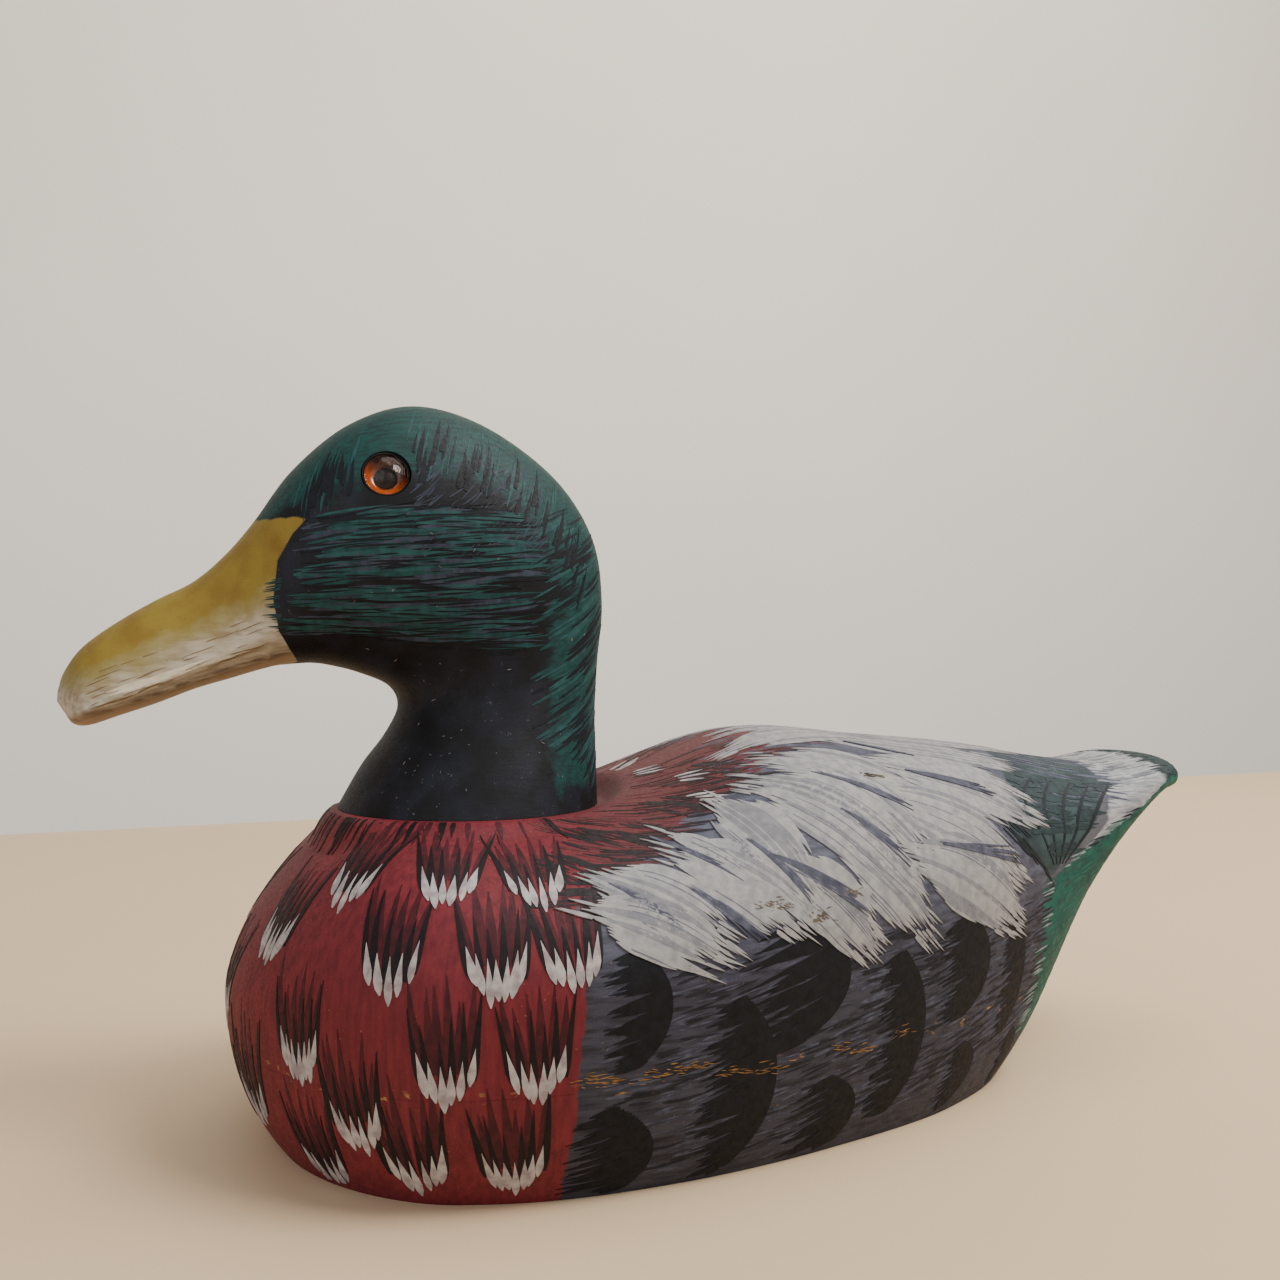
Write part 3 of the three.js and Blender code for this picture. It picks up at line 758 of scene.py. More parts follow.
def build_stage():
    plain_plane("floor", [(FLOOR_EDGE, -9, 0), (9, -9, 0), (9, 9, 0), (FLOOR_EDGE, 9, 0)],
                (207, 180, 146), 0.6)
    plain_plane("wall", [(WALL, -5, -2), (WALL, 5, -2), (WALL, 5, 4), (WALL, -5, 4)],
                (250, 241, 227), 0.9)
    middle = (0, 0, 0.07)
    area_light("key", (0.45, 0.55, 1.0), middle, 0.55, 13, (1.0, 0.97, 0.92))
    area_light("fill", (0.9, -0.9, 0.6), middle, 1.4, 6, (0.95, 0.97, 1.0))
    area_light("wash", (-0.2, 0.9, 1.7), (WALL, 0.9, 0.5), 2.4, 40, (1.0, 0.97, 0.92))
    world = bpy.data.worlds.new("studio")
    world.use_nodes = True
    sky = world.node_tree.nodes["Background"]
    sky.inputs["Color"].default_value = (0.92, 0.94, 1.0, 1)
    sky.inputs["Strength"].default_value = 0.55
    bpy.context.scene.world = world

    data = bpy.data.cameras.new("camera")
    data.lens = CAMERA_LENS
    data.sensor_width = 36
    data.clip_start = 0.01
    camera = bpy.data.objects.new("camera", data)
    camera.location = CAMERA_PLACE
    camera.rotation_euler = (math.radians(90), 0, math.radians(CAMERA_TURN))
    bpy.context.scene.collection.objects.link(camera)
    bpy.context.scene.camera = camera


build_stage()


# ---------------------------------------------------------------- brush strokes

STROKE_ROOT = 0.22
NECK_MARGIN = 0.7
EYE_MARGIN = 6.9

# How a stroke's width runs along it, as shares of its full width.
LEAF = (0.35, 0.85, 1.0, 0.85, 0.5, 0.08)
TAPER = (0.7, 1.0, 0.95, 0.7, 0.4, 0.06)
HAIR = (0.3, 1.0, 1.0, 0.9, 0.5, 0.08)


def on_open_body(spot):
    clear_of_neck = math.hypot(spot.x, spot.y - NECK_BACK) > NECK_RADIUS + NECK_MARGIN
    return spot.z > 1.1 and (clear_of_neck or spot.z < SEAT_HEIGHT - 1)


def bill_border(spot):
    """How far back the bill reaches at this height and distance off centre."""
    side = value_on(BILL_BORDER_SIDE, spot.z)
    top = value_on(BILL_BORDER_TOP, abs(spot.x)) if spot.z > 139 else side
    return min(side, top)


def value_on(line, key):
    """The value of a line of straight pieces at this place along it."""
    return float(np.interp(key, [point[0] for point in line], [point[1] for point in line]))


def off_eye(spot):
    eye = Vector((math.copysign(EYE_PLACE[0], spot.x), EYE_PLACE[1], EYE_PLACE[2]))
    return spot.z > SEAT_HEIGHT + 0.8 and (spot - eye).length > EYE_MARGIN


def on_open_head(spot):
    return off_eye(spot) and spot.y > bill_border(spot)


class Surface:
    """A carved surface that brush strokes are laid on, where it is open."""

    def __init__(self, body, points, faces, is_open):
        self.body = body
        self.tree = BVHTree.FromPolygons([Vector(point) for point in points], faces)
        self.is_open = is_open

    def snap(self, point):
        spot, normal, _, _ = self.tree.find_nearest(Vector(point))
        return spot, normal


def along(vector, normal):
    """The direction along the surface that is closest to the vector."""
    flat = vector - normal * vector.dot(normal)
    return flat.normalized()


paints = []


class Paint:
    """Brush strokes of one colour: thin closed strips of paint, gathered into one mesh."""

    def __init__(self, name, surface, colour, second, lift, roughness=0.6):
        self.name = name
        self.surface = surface
        self.material = paint_material(name, colour, second, roughness)
        self.lift = lift
        self.points = []
        self.faces = []
        paints.append(self)

    def strip(self, spots, widths):
        """A strip over surface spots, each with its normal and its width."""
        kept = []
        for (spot, normal), width in zip(spots, widths):
            if not self.surface.is_open(spot):
                break
            kept.append((spot, normal, width))
        if len(kept) < 3:
            return
        first = len(self.points)
        for i, (spot, normal, width) in enumerate(kept):
            ahead = kept[min(i + 1, len(kept) - 1)][0] - kept[max(i - 1, 0)][0]
            side = ahead.cross(normal)
            if side.length < 1e-6:
                side = normal.orthogonal()
            side = side.normalized() * width / 2
            root = normal * -STROKE_ROOT
            top = normal * self.lift
            self.points += [spot - side + root, spot - side + top, spot + side + top, spot + side + root]
        for i in range(len(kept) - 1):
            here = first + 4 * i
            for k in range(4):
                near = here + k
                beside = here + (k + 1) % 4
                self.faces.append((near, near + 4, beside + 4, beside))
        last = first + 4 * (len(kept) - 1)
        self.faces.append((first, first + 1, first + 2, first + 3))
        self.faces.append((last + 3, last + 2, last + 1, last))

    def stroke(self, start, heading, length, width, shape=TAPER, bend=0.0):
        """A stroke that sets out along a heading and turns by bend degrees over its length."""
        spot, normal = self.surface.snap(start)
        direction = along(Vector(heading), normal)
        spots = [(spot, normal)]
        step = length / (len(shape) - 1)
        for _ in shape[1:]:
            spot, normal = self.surface.snap(spot + direction * step)
            spots.append((spot, normal))
            turned = Matrix.Rotation(math.radians(bend / (len(shape) - 1)), 3, normal) @ direction
            direction = along(turned, normal)
        self.strip(spots, [share * width for share in shape])

    def finish(self):
        piece = mesh_object(self.name, [tuple(point) for point in self.points], self.faces, 30)
        fit(piece, self.surface.body, self.material)


body_skin = Surface("body", body_points, body_faces, on_open_body)
head_skin = Surface("head", head_points, head_faces, on_open_head)
bill_skin = Surface("head", head_points, head_faces, off_eye)


# ---- breast

breast_maroon = Paint("breast_maroon", body_skin, (70, 20, 28), (52, 15, 22), 0.09)
breast_black = Paint("breast_black", body_skin, (10, 6, 8), (24, 10, 13), 0.15)
breast_white = Paint("breast_white", body_skin, (168, 162, 158), (134, 124, 124), 0.21)

BREAST_TUFTS = (
    (36, 22, 67), (51, 41, 67), (56, 59, 67), (22, 7, 53.5), (55, 28, 51), (65, 48, 51), (67, 63.5, 52),
    (39, 12, 31), (63, 38, 30), (67, 56, 30), (17, 6, 15), (49, 23, 18), (53, 35, 10), (60, 53, 9),
    (36, 19, 6),
)
MIDDLE_TUFTS = ((0, 1, 34), (0, 6, 9))


def breast_tuft(centre, size=1.0):
    """White leaf tips in a shallow U, with black and maroon strokes sweeping up from them."""
    spot, normal = body_skin.snap(centre)
    outward = Vector((spot.x, spot.y - NECK_BACK, 0)).normalized()
    down = along(outward * 0.5 + Vector((0, 0, -1)), normal)
    side = down.cross(normal)

    def near(sideways, depth):
        return spot + side * sideways * size + down * depth * size

    strands = 6
    for k in range(strands):
        u = -5.6 + 11.2 * (k + vary(0.3, 0.7)) / strands
        lean = side * u * 0.03 - down
        breast_maroon.stroke(near(u, vary(-2, 1)), lean, vary(14, 21) * size, vary(1.8, 2.5) * size,
                             bend=vary(-4, 4))
    for k in range(strands):
        u = -6.4 + 12.8 * (k + vary(0.35, 0.65)) / strands
        outer = abs(u) / 6.4
        depth = 2.6 * (1 - outer**2)
        lean = side * u * 0.03 - down
        reach = vary(10, 16) + 7 * outer**2
        breast_black.stroke(near(u, depth + vary(-0.8, 0.8)), lean, reach * size, vary(1.4, 2.0) * size,
                            (0.6, 1.0, 0.95, 0.8, 0.62, 0.45, 0.28, 0.05), bend=vary(-4, 4))
    tips = rng.choice((5, 6, 6, 7))
    for k in range(tips):
        u = -6.0 + 12.0 * (k + vary(-0.12, 0.12)) / (tips - 1)
        outer = abs(u) / 6.2
        depth = 3.4 * (1 - outer**2)
        lean = side * (-u * 0.035) + down
        breast_white.stroke(near(u, depth - 6.0), lean, vary(7.4, 9.8) * size, vary(1.5, 2.1) * size,
                            (0.03, 0.26, 0.52, 0.8, 1.0, 0.8, 0.15), bend=vary(-6, 6))


def neck_streaks():
    """Dark strokes that run down onto the breast from under the neck."""
    for _ in range(64):
        turn = math.radians(vary(-200, 20))
        out = Vector((math.cos(turn), math.sin(turn), 0))
        start = out * (NECK_RADIUS + 1.4) + Vector((0, NECK_BACK, 76))
        paint = breast_black if rng.random() < 0.4 else breast_maroon
        paint.stroke(start, out + Vector((0, 0, -0.6)), vary(4, 12), vary(0.6, 1.5), TAPER)


def paint_breast():
    for centre in BREAST_TUFTS:
        for mirror in (1, -1):
            breast_tuft(at(mirror, *centre), vary(0.98, 1.1))
    for centre in MIDDLE_TUFTS:
        breast_tuft(centre, 1.0)
    neck_streaks()


# ---- shoulder, between the neck and the pale wing feathers

shoulder_maroon = Paint("shoulder_maroon", body_skin, (84, 38, 40), (62, 26, 30), 0.05)
shoulder_black = Paint("shoulder_black", body_skin, (20, 15, 18), (34, 24, 27), 0.08)

# Where pale and dark marks cross the shoulder, and where dark strokes gather.
SHOULDER_MARKS = ((7, 100, 82), (24, 106, 84), (37, 103, 81))
SHOULDER_SHADES = ((41, 72, 76), (50, 66, 72), (43, 86, 77), (34, 97, 80), (22, 112, 86))


def on_ridge(back, height):
    """The spot of the body's left side at this distance back and height."""
    low, high = 0.0, math.pi / 2
    for _ in range(14):
        middle = (low + high) / 2
        if body_surface(back, middle)[2] < height:
            low = middle
        else:
            high = middle
    return body_surface(back, (low + high) / 2)


def paint_shoulder(mirror):
    for _ in range(90):
        turn = math.radians(vary(6, 84))
        reach = vary(36, 58)
        start = at(mirror, max(reach * math.cos(turn), 0.5), NECK_BACK + reach * math.sin(turn), 84)
        heading = at(mirror, math.cos(turn) * 0.5, 1.0, -0.1)
        paint = shoulder_maroon if rng.random() < 0.8 else shoulder_black
        paint.stroke(start, heading, vary(8, 15), vary(0.3, 0.9), LEAF, bend=mirror * vary(-14, 2))
    for _ in range(170):
        height = vary(62, 93)
        back = value_on(BREAST_BORDER, height) + vary(-13, 1)
        start = at(mirror, *on_ridge(back, height))
        paint = shoulder_black if rng.random() < 0.45 else shoulder_maroon
        paint.stroke(start, at(mirror, 0.25, 1, 0.1), vary(7, 14), vary(0.5, 1.2), LEAF)
    for centre in SHOULDER_MARKS:
        for k in range(6):
            start = at(mirror, *centre) + Vector((mirror * (k - 2.5) * 1.0, vary(-2, 1), 2))
            heading = at(mirror, 0.3 + 0.08 * k, 1, 0)
            paint = breast_white if k % 2 == 0 else shoulder_black
            paint.stroke(start, heading, vary(6, 9), vary(0.9, 1.4), LEAF, bend=-mirror * 8)
    for centre in SHOULDER_SHADES:
        for _ in range(13):
            start = at(mirror, *centre) + Vector((vary(-4, 4), vary(-6, 4), vary(0, 3)))
            heading = at(mirror, 0.7, 1.0, -0.8)
            shoulder_black.stroke(start, heading, vary(6, 11), vary(0.6, 1.2), LEAF)


# ---- pale wing feathers over the back

feather_white = Paint("feather_white", body_skin, (148, 146, 143), (129, 128, 128), 0.10, 0.7)
feather_grey = Paint("feather_grey", body_skin, (122, 121, 123), (106, 106, 110), 0.12, 0.7)
feather_line = Paint("feather_line", body_skin, (98, 98, 106), (82, 82, 92), 0.14, 0.7)
gap_slate = Paint("gap_slate", body_skin, (76, 77, 90), (58, 59, 71), 0.16, 0.7)
slate_brush = Paint("slate_brush", body_skin, (84, 86, 100), (60, 62, 75), 0.05, 0.7)

FEATHER_STROKE = (0.1, 0.45, 0.75, 0.95, 1, 1, 1, 1, 0.95, 0.85, 0.65, 0.35, 0.05)

# Each feather is laid a little over the one before it.
FEATHER_LIFT = 0.08
FEATHER_LAYER = 0.02

# Each feather: its fore end, its aft end and its width.
WING_FEATHERS = (
    ((3, 122, 92), (4, 172, 92), 15),
    ((16, 129, 92), (22, 206, 83), 19),
    ((6, 160, 92), (8, 216, 85), 17),
    ((20, 114, 89), (12, 162, 92), 16),
    ((33, 146, 88), (36, 206, 70), 22),
    ((27, 120, 88), (50, 168, 69), 21),
    ((46, 140, 81), (44, 194, 56), 17),
    ((38, 136, 87), (55, 158, 66), 15),
    ((56, 145, 69), (45, 192, 45), 19),
    ((56, 128, 72), (58, 156, 48), 15),
    ((58, 109, 70), (63, 139, 46), 16),
    ((35, 113, 84), (58, 152, 60), 21),
    ((37, 105, 82), (63, 120, 62), 16),
    ((50, 88, 71), (65, 119, 54), 17),
    ((44, 90, 75), (59, 107, 65), 4.4),
    ((54, 69, 69), (67, 99, 52), 17),
    ((60, 64, 62), (68, 97, 49), 13),
)


def feather(fore, aft, width, mirror):
    """A pale leaf of many fine strokes, narrow and split in front, ragged behind."""
    start = at(mirror, *fore)
    end = at(mirror, *aft)
    spot, normal = body_skin.snap((start + end) / 2)
    side = (end - start).cross(normal).normalized()
    strands = max(4, int(width / 0.72))
    steps = 13
    for k in range(strands):
        u = -1 + 2 * (k + vary(0.2, 0.8)) / strands
        first = 0.20 * abs(u) + vary(0, 0.2)
        last = 1.0 - 0.26 * u * u + vary(-0.14, 0.05)
        spots = []
        for step in range(steps):
            t = first + (last - first) * step / (steps - 1)
            spread = 0.5 + 0.5 * smooth_step(t / 0.5) - 0.22 * smooth_step((t - 0.7) / 0.3)
            belly = 0.06 * math.sin(math.pi * t) * (end - start).length
            middle = start.lerp(end, t) + Vector((0, 0, belly))
            spots.append(body_skin.snap(middle + side * u * spread * width / 2))
        paint = feather_grey if rng.random() < 0.13 else feather_white
        wide = vary(1.15, 1.7)
        paint.strip(spots, [wide * share for share in FEATHER_STROKE])
        if rng.random() < 0.16:
            feather_line.strip(spots[3:], [0.3 * share for share in FEATHER_STROKE[3:]])
    for _ in range(int(width * 0.9)):
        u = vary(-0.75, 0.75)
        start_at = start.lerp(end, 0.97 - 0.24 * u * u - vary(0, 0.1)) + side * u * width / 2 * 0.8
        feather_white.stroke(start_at, end - start + side * u * 2, vary(4, 7.5), vary(0.45, 0.8), TAPER)
    for _ in range(int(width * 0.45)):
        u = vary(-0.7, 0.7)
        start_at = start.lerp(end, vary(0.1, 0.3)) + side * u * width / 2 * 0.6
        feather_white.stroke(start_at, start - end, vary(5, 9), vary(0.5, 0.9), TAPER)


# Slate gaps that show between the feathers: fore end, aft end and width.
FEATHER_GAPS = (
    ((46, 88, 74), (61, 105, 64), 3.4),
    ((60, 91, 65), (67, 106, 53), 4.2),
    ((53, 109, 73), (63, 121, 59), 4.0),
    ((57, 112, 70), (62, 137, 56), 5.0),
    ((39, 132, 86), (47, 155, 77), 3.4),
    ((50, 135, 78), (56, 150, 66), 5.0),
    ((57, 74, 66), (64, 87, 59), 3.6),
    ((22, 152, 91), (27, 170, 88), 3.0),
    ((36, 162, 85), (37, 190, 78), 4.0),
    ((51, 160, 68), (44, 190, 62), 4.0),
)


def feather_gap(fore, aft, width, mirror):
    start = at(mirror, *fore)
    end = at(mirror, *aft)
    for _ in range(int(width * 2.2)):
        offset = Vector((0, 0, vary(-0.5, 0.5) * width * 0.7))
        begin = start.lerp(end, vary(0, 0.3)) + offset * 0.3
        reach = (end - start).length * vary(0.6, 0.85)
        gap_slate.stroke(begin, end - start + offset * 2, reach, vary(0.6, 1.3), LEAF, bend=vary(-5, 5))
    for _ in range(3):
        begin = start.lerp(end, vary(0, 0.3)) + Vector((0, 0, vary(-0.4, 0.4) * width))
        feather_line.stroke(begin, end - start, (end - start).length * vary(0.5, 0.9), 0.35, HAIR)


def paint_wings(mirror):
    for layer, (fore, aft, width) in enumerate(WING_FEATHERS):
        feather_white.lift = FEATHER_LIFT + layer * FEATHER_LAYER
        feather_grey.lift = feather_line.lift = feather_white.lift + FEATHER_LAYER
        feather(fore, aft, width, mirror)
    gap_slate.lift = feather_line.lift = FEATHER_LIFT + len(WING_FEATHERS) * FEATHER_LAYER
    for fore, aft, width in FEATHER_GAPS:
        feather_gap(fore, aft, width, mirror)
    for _ in range(340):
        back = vary(112, 236)
        angle = vary(0.5, 1.5)
        start = at(mirror, *body_surface(back, angle))
        slate_brush.stroke(start, at(mirror, 0.12, 1, -0.1), vary(7, 15), vary(0.4, 0.9), HAIR)


# ---- dark scallops on the flank

flank_black = Paint("flank_black", body_skin, (6, 7, 11), (15, 16, 22), 0.12, 0.66)
flank_slate = Paint("flank_slate", body_skin, (72, 74, 88), (54, 55, 67), 0.05, 0.66)
flank_night = Paint("flank_night", body_skin, (32, 32, 40), (22, 22, 28), 0.07, 0.66)

# Each scallop: its middle, its length along the duck and its height.
SCALLOPS = (
    ((69, 77, 42), 15, 24), ((66, 101, 22), 19, 40), ((66, 116, 43), 29, 27), ((64, 72, 10), 20, 24),
    ((59, 146, 26), 17, 40), ((60, 125, 9), 20, 22), ((54, 168, 39), 20, 25), ((45, 188, 34), 12, 32),
    ((48, 169, 11), 13, 17), ((56, 96, 1), 11, 8), ((38, 192, 9), 10, 16),
)


def scallop(centre, length, height, mirror):
    """A dark feather with a crisp round edge behind and brushy strokes in front."""
    spot, normal = body_skin.snap(at(mirror, *centre))
    aft = along(Vector((0, 1, 0.03)), normal)
    up = along(Vector((0, 0, 1)), normal)
    rows = max(6, int(height / 0.62))

    def rim(v):
        return length * (0.5 - 0.44 * abs(v) ** 2.2)

    for k in range(rows):
        v = -1 + 2 * (k + 0.5) / rows
        start = spot + aft * rim(v) + up * v * height / 2
        reach = length * vary(0.66, 1.05) * (1 - 0.55 * abs(v) ** 2.5)
        flank_black.stroke(start, -aft - up * vary(0.1, 0.3), reach, vary(1.0, 1.6),
                           (0.5, 1, 1, 0.9, 0.55, 0.05))
    edge = []
    for k in range(21):
        v = -0.97 + 1.94 * k / 20
        edge.append(body_skin.snap(spot + aft * (rim(v) - 0.5) + up * v * height / 2))
    flank_black.strip(edge, [1.3 * min(1, 0.3 + k / 4, 0.3 + (20 - k) / 4) for k in range(21)])
    for _ in range(int(height * 0.8)):
        v = vary(-0.95, 0.95)
        start = spot + aft * (rim(v) - length * vary(0.8, 1.2)) + up * (v * height / 2 - 1)
        if start.y > 68:
            flank_slate.stroke(start, aft + up * vary(0.05, 0.3), vary(3, 7), vary(0.3, 0.6), HAIR)


# Where the paint is rubbed off along the joint of the boards, and how far the rub reaches.
SEAM_RUBS = (
    ((68, 66, 28.5), 5), ((68, 71, 27), 5), ((68, 87, 28), 9), ((66, 109, 25), 6), ((61, 133, 24.5), 5),
    ((60, 128, 27), 3), ((57, 146, 27), 3), ((68, 98, 26), 4),
)
FEATHER_RUBS = (((40, 150, 84), 3), ((64, 110, 60), 5), ((59, 131, 60), 4), ((62, 121, 56), 4))

bare_fleck = Paint("bare_fleck", body_skin, (142, 104, 58), (110, 78, 42), 0.14, 0.7)
rub_brown = Paint("rub_brown", body_skin, (104, 92, 78), (84, 72, 58), 0.4, 0.8)


def paint_rubs(mirror):
    for centre, reach in SEAM_RUBS:
        for _ in range(reach * 3):
            start = at(mirror, *centre) + Vector((0, rng.gauss(0, reach * 0.5), rng.gauss(0, 0.6)))
            bare_fleck.stroke(start, (0, 1, vary(-0.3, 0.15)), vary(0.8, 3.2), vary(0.1, 0.24), LEAF)
    for centre, reach in FEATHER_RUBS:
        for _ in range(reach * 7):
            start = at(mirror, *centre) + Vector((0, rng.gauss(0, reach * 0.5), rng.gauss(0, 0.7)))
            rub_brown.stroke(start, (0, 1, vary(-0.5, 0.3)), vary(0.5, 1.8), vary(0.1, 0.3), LEAF)


def paint_flank(mirror):
    for _ in range(800):
        back = vary(68, 212)
        height = vary(1, 50)
        start = at(mirror, 70, back, height)
        paint = flank_slate if rng.random() < 0.55 else flank_night
        paint.stroke(start, (0, 1, vary(0.0, 0.25)), vary(4, 10), vary(0.3, 0.8), HAIR)
    for centre, length, height in SCALLOPS:
        scallop(centre, length, height, mirror)


# ---- tail

tail_green = Paint("tail_green", body_skin, (18, 84, 72), (12, 60, 54), 0.06, 0.55)
tail_mint = Paint("tail_mint", body_skin, (122, 136, 134), (88, 110, 104), 0.09, 0.6)
patch_green = Paint("patch_green", body_skin, (38, 54, 54), (28, 42, 43), 0.13, 0.6)
patch_dark = Paint("patch_dark", body_skin, (14, 20, 22), (22, 30, 32), 0.15, 0.6)
tail_grey = Paint("tail_grey", body_skin, (116, 118, 122), (96, 98, 104), 0.12, 0.66)
tail_white = Paint("tail_white", body_skin, (158, 158, 157), (136, 138, 139), 0.07, 0.66)


def on_patch(height, share):
    """A place on the wing patch: share runs from its fore edge to its rear edge."""
    front = value_on(PATCH_FRONT, height)
    rear = value_on(PATCH_REAR, height)
    return front + (rear - front) * share


def paint_tail(mirror):
    for _ in range(150):
        height = vary(60, 88)
        start = at(mirror, 30, on_patch(height, vary(0, 0.9)), height)
        patch_green.stroke(start, (0, 1, vary(-0.1, 0.1)), vary(4, 9), vary(0.6, 1.4), LEAF)
    for share in (0.22, 0.42, 0.62, 0.8, 0.98):
        edge = []
        for height in np.linspace(85, 58, 15):
            edge.append(body_skin.snap(at(mirror, 30, on_patch(height, share), height)))
        patch_dark.strip(edge, [0.2 + 0.9 * math.sin(math.pi * (k + 0.5) / 15) for k in range(15)])
    for _ in range(26):
        height = vary(57, 72)
        start = at(mirror, 40, on_patch(height, vary(-0.12, 0.1)), height)
        patch_dark.stroke(start, (0, 1, -0.9), vary(3, 8), vary(0.4, 1.0), LEAF)
    for _ in range(90):
        back = vary(239, 252)
        start = at(mirror, vary(0, 26), back, vary(72, 86))
        tail_white.stroke(start, at(mirror, 0.02, 1, 0.1), vary(4, 10), vary(0.5, 1.2), LEAF)
    for _ in range(18):
        start = at(mirror, vary(0, 24), vary(239, 250), vary(74, 86))
        tail_grey.stroke(start, at(mirror, 0.02, 1, 0.1), vary(6, 12), vary(0.5, 1.2), LEAF)
    for _ in range(80):
        start = at(mirror, vary(0, 24), vary(262, 270), vary(78, 90))
        patch_green.stroke(start, at(mirror, 0.05, -1, 0), vary(3, 8), vary(0.7, 1.4), TAPER)
    for _ in range(240):
        height = vary(6, 78)
        start = at(mirror, 40, value_on(UNDERTAIL_BORDER, height) + 3 + 34 * rng.random() ** 2, height)
        tail_green.stroke(start, at(mirror, -0.3, 0.9, 0.25), vary(5, 11), vary(0.5, 1.1), LEAF)
    for _ in range(120):
        height = vary(12, 70)
        start = at(mirror, 40, value_on(UNDERTAIL_BORDER, height) + vary(1, 4), height)
        paint = rng.choice((tail_mint, tail_green, flank_slate, flank_night))
        paint.stroke(start, at(mirror, 0.25, -1, -0.12), vary(3, 7), vary(0.3, 0.6), TAPER)


# ---- head

head_green = Paint("head_green_strokes", head_skin, (19, 60, 58), (13, 46, 46), 0.07, 0.62)
head_teal = Paint("head_teal_strokes", head_skin, (30, 70, 70), (20, 56, 56), 0.1, 0.62)
head_black = Paint("head_black_strokes", head_skin, (6, 7, 11), (12, 14, 22), 0.14, 0.62)
head_navy = Paint("head_navy_strokes", head_skin, (50, 56, 70), (36, 40, 52), 0.08, 0.62)
head_dust = Paint("head_dust", head_skin, (96, 102, 112), (70, 76, 86), 0.12, 0.7)
head_scuff = Paint("head_scuffs", head_skin, (126, 118, 112), (96, 88, 84), 0.12, 0.7)


def paint_head(mirror):
    for _ in range(95):
        back = vary(8, 84)
        start = at(mirror, 22, back, value_on(CROWN_LINE, back) + vary(-4, 7))
        rise = Vector((0, 0.12 + (back - 30) * 0.009, 1))
        head_black.stroke(start, rise, vary(4, 13), vary(0.5, 1.1), TAPER, bend=mirror * vary(-4, 8))
    for _ in range(90):
        back = vary(8, 84)
        start = at(mirror, 20, back, value_on(CROWN_LINE, back) + vary(-4, 10))
        rise = Vector((0, 0.12 + (back - 30) * 0.009, 1))
        rng.choice((head_teal, head_green)).stroke(start, rise, vary(6, 14), vary(0.3, 0.7), HAIR)
    for _ in range(330):
        start = at(mirror, 22, vary(10, 58), 116 + 32 * rng.random())
        paint = rng.choice((head_green, head_green, head_teal, head_navy))
        paint.stroke(start, (0, 1, vary(0.0, 0.14)), vary(9, 22), vary(0.4, 1.2), HAIR,
                     bend=mirror * vary(-6, 6))
    for _ in range(150):
        start = at(mirror, 22, vary(11, 58), vary(114, 149))
        head_black.stroke(start, (0, 1, vary(0.0, 0.14)), vary(6, 18), vary(0.2, 0.5), HAIR,
                          bend=mirror * vary(-6, 6))
    for _ in range(240):
        height = vary(80, 148)
        start = at(mirror, 16, vary(66, 84), height)
        paint = rng.choice((head_green, head_green, head_teal, head_black))
        paint.stroke(start, (0, 1, 0.5), vary(8, 15), vary(0.4, 1.0), LEAF, bend=mirror * vary(-4, 4))
    for _ in range(130):
        start = at(mirror, 22, vary(36, 70), vary(136, 159))
        head_navy.stroke(start, (0, 1, vary(0.4, 1.3)), vary(3, 9), vary(0.2, 0.45), HAIR)
    for _ in range(34):
        start = at(mirror, 16, vary(68, 80), vary(80, 96))
        head_black.stroke(start, (0, 1, 0.5), vary(6, 12), vary(0.4, 0.8), LEAF)
    for _ in range(26):
        start = at(mirror, vary(8, 24), vary(8, 88), vary(80, 160))
        head_scuff.stroke(start, (0, vary(-1, 1), vary(-1, 1)), vary(0.4, 1.3), vary(0.12, 0.3), LEAF)
    for _ in range(45):
        start = at(mirror, vary(14, 30), vary(34, 74), 79 + 18 * rng.random() ** 1.6)
        head_dust.stroke(start, (0, vary(-1, 1), vary(-1, 1)), vary(0.3, 0.8), vary(0.1, 0.22), LEAF)


# ---- bill

bill_brown = Paint("bill_brown", bill_skin, (98, 76, 50), (120, 96, 62), 0.06, 0.6)
# Cream strokes along the lower third of the bill are a painted highlight on its ridge.
bill_ridge_highlight = Paint("bill_ridge_highlight", bill_skin, (196, 187, 164), (180, 168, 142), 0.09, 0.55)
bill_hair = Paint("bill_hair", bill_skin, (22, 52, 50), (16, 38, 40), 0.07, 0.5)

# How far back, by height, the dark hairs start that run from the cheek onto the bill.
BILL_HAIR_LINE = ((115, 14.5), (120, 10.5), (127, 9), (136, 10.5))


def paint_bill(mirror):
    for _ in range(60):
        back = vary(-31, 4)
        start = at(mirror, 14, back, value_on(BILL_LOW_LINE, back) + 1.2 + vary(0, 1) ** 2 * 9)
        bill_brown.stroke(start, (0, 1, 0.36), vary(2, 6), vary(0.1, 0.2), HAIR)
    # Painted highlight: cream strokes along the ridge in the bill's lower third.
    for _ in range(16):
        back = vary(-26, -8)
        start = at(mirror, 14, back, value_on(BILL_LOW_LINE, back) + vary(2.8, 4.4))
        bill_ridge_highlight.stroke(start, (0, 1, 0.34), vary(8, 14), vary(0.4, 0.9), LEAF)
    for _ in range(26):
        height = vary(117, 133)
        border = value_on(BILL_HAIR_LINE, height)
        start = at(mirror, 18, border + 0.8, height)
        bill_hair.stroke(start, (0, -1, -0.1), vary(1.8, 4.5), vary(0.25, 0.45), TAPER)


# ---------------------------------------------------------------- eyes

def dome_profile(radius, top, rim, steps=14):
    """Points of a spherical cap from its rim to its top."""
    rise = top - rim
    sphere = (radius**2 + rise**2) / (2 * rise)
    full = math.asin(radius / sphere)
    points = []
    for step in range(steps + 1):
        angle = full * (1 - step / steps)
        points.append((sphere * math.sin(angle), top - sphere + sphere * math.cos(angle)))
    return points


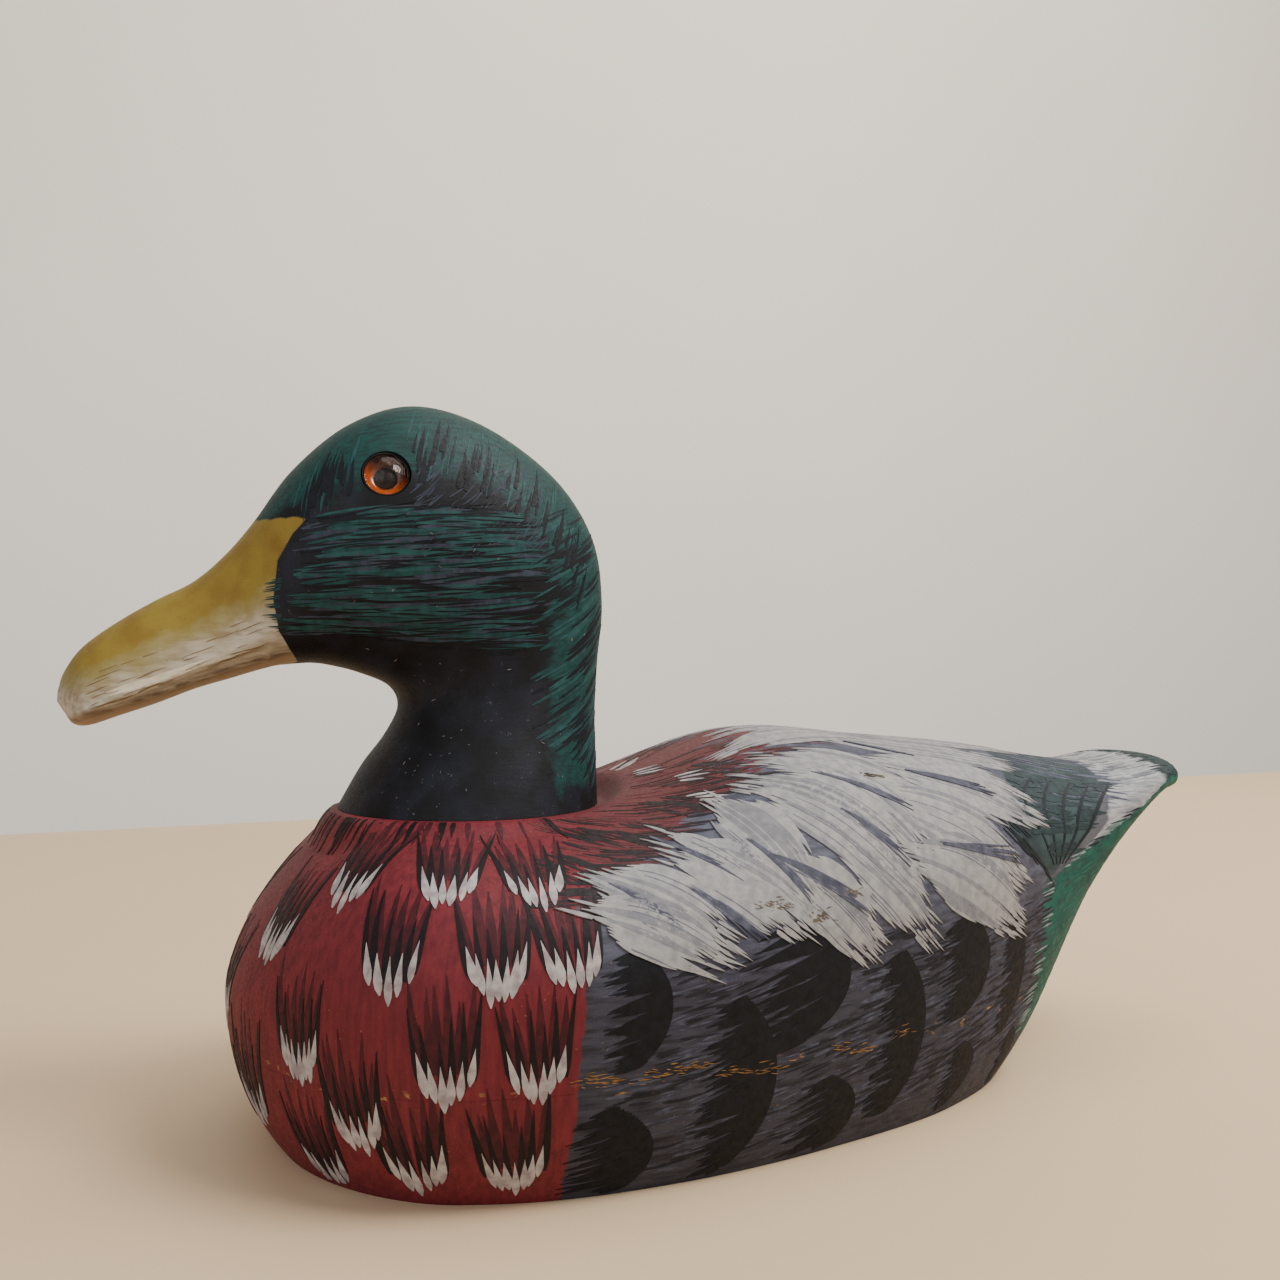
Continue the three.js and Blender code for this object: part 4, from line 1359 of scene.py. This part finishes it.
def glass_material():
    """Clear glass: light passes straight through, with a sharp reflection that grows at the edge."""
    coat = Coat("eye_glass", 0.02)
    output = coat.nodes["Material Output"]
    clear = coat.nodes.new("ShaderNodeBsdfTransparent")
    clear.inputs["Color"].default_value = (1.0, 0.95, 0.9, 1)
    shine = coat.nodes.new("ShaderNodeBsdfGlossy")
    shine.inputs["Roughness"].default_value = 0.03
    edge = coat.nodes.new("ShaderNodeLayerWeight")
    edge.inputs["Blend"].default_value = 0.5
    grazing = coat.times(coat.math("POWER", edge.outputs["Facing"], 5.0), 0.4)
    smudge = coat.span(coat.noise(1.5, 3.0), 0.4, 0.8, 0.01, 0.025)
    blend = coat.nodes.new("ShaderNodeMixShader")
    coat.links.new(coat.plus(grazing, smudge), blend.inputs[0])
    coat.links.new(clear.outputs[0], blend.inputs[1])
    coat.links.new(shine.outputs[0], blend.inputs[2])
    coat.links.new(blend.outputs[0], output.inputs["Surface"])
    return coat.material


def iris_material():
    coat = Coat("amber", 0.25)
    threads = coat.noise(0.5, 5.0)
    # Painted light: the iris is painted lighter low and to the front, as a painted pool of the light that
    # the glass gathers there, and darker high and to the rear, as painted shade.
    bright = coat.mix(coat.span(threads, 0.35, 0.65), (178, 84, 8), (134, 54, 6))
    deep = coat.mix(coat.span(threads, 0.35, 0.65), (56, 27, 15), (34, 17, 12))
    height = coat.minus(coat.up, EYE_PLACE[2])
    behind = coat.times(coat.minus(coat.back, EYE_PLACE[1]), 0.5)
    lit_to_shaded = coat.plus(height, behind)
    coat.colour(coat.mix(coat.span(lit_to_shaded, -2.5, 2.0), bright, deep))
    coat.relief(threads, 0.4, 0.1)
    coat.shader.inputs["Coat Weight"].default_value = 0.6
    coat.shader.inputs["Coat Roughness"].default_value = 0.05
    return coat.material


EYE_SMOOTH = 40

# Sections of the eye's pieces: (radius, height) about the eye's axis, in millimetres.
IRIS_BACK = [(0.0, -3.3), (4.2, -3.0), (4.9, -2.0), (4.95, -0.2)]
IRIS_BOWL = [(4.85, -0.15), (4.7, -0.7), (4.0, -1.8), (3.0, -2.5), (2.0, -2.7), (0.0, -2.75)]
PUTTY_RING = [(5.08, -3.6), (5.6, -3.6), (5.65, -0.4), (5.5, 0.0), (5.35, 0.15), (5.2, 0.15), (5.08, 0.0)]


def build_eyes():
    glass = glass_material()
    amber = iris_material()
    enamel = paint_material("pupil", (3, 3, 3), (7, 5, 4), 0.5)
    rim = paint_material("putty", (22, 17, 14), (10, 9, 9), 0.6)
    for label, mirror in (("left", 1), ("right", -1)):
        centre, facing = eye_seat(mirror)
        outer = dome_profile(5.0, 2.2, 0.1)
        inner = list(reversed(dome_profile(4.75, 1.9, 0.0)))
        shell = [(0, inner[0][1])] + inner[1:] + outer[:-1] + [(0, 2.2)]
        dome = turned(f"glass_{label}", shell, centre, facing, 72, EYE_SMOOTH)
        fit(dome, "head", glass, [f"eye_glass_{label}"])
        iris = turned(f"iris_{label}", IRIS_BACK + IRIS_BOWL, centre, facing, 72, EYE_SMOOTH)
        fit(iris, "head", amber, [f"eye_iris_{label}"])
        button = [(0, -2.6), (2.7, -2.6)] + dome_profile(2.7, -1.6, -2.4)[:-1] + [(0, -1.6)]
        pupil = turned(f"pupil_{label}", button, centre, facing, 48, EYE_SMOOTH)
        fit(pupil, "head", enamel, [f"eye_pupil_{label}"])
        collar = turned(f"putty_{label}", PUTTY_RING, centre, facing, 72, EYE_SMOOTH)
        fit(collar, "head", rim, [f"eye_putty_{label}"])


# ---------------------------------------------------------------- fittings

def dress_fittings():
    steel = metal_material("steel", (176, 176, 172), (110, 100, 92), 0.35)
    lead = metal_material("ballast", (122, 124, 128), (84, 86, 92), 0.5, 4.0)
    brass = metal_material("brass", (188, 150, 78), (112, 84, 44), 0.3)
    finishes = (
        (bare_wood, ("seam_dowel_front", "seam_dowel_rear", "seam_dowel_left", "seam_dowel_right",
                     "neck_dowel")),
        (lead, ("ballast_weight",)),
        (steel, ("ballast_screw_front", "ballast_screw_rear", "eye_wire_left", "eye_wire_right")),
        (brass, ("line_screw_eye", "line_ring")),
    )
    for material, names in finishes:
        for name in names:
            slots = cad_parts[name].data.materials
            slots.clear()
            slots.append(material)
    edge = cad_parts["ballast_weight"].modifiers.new("worn_edge", "BEVEL")
    edge.width = 0.8 * MM
    edge.segments = 3
    edge.limit_method = "ANGLE"


build_eyes()
dress_fittings()
paint_breast()
for paint_side in (paint_shoulder, paint_wings, paint_flank, paint_rubs, paint_tail, paint_head,
                   paint_bill):
    for mirror in (1, -1):
        paint_side(mirror)
for paint in paints:
    paint.finish()
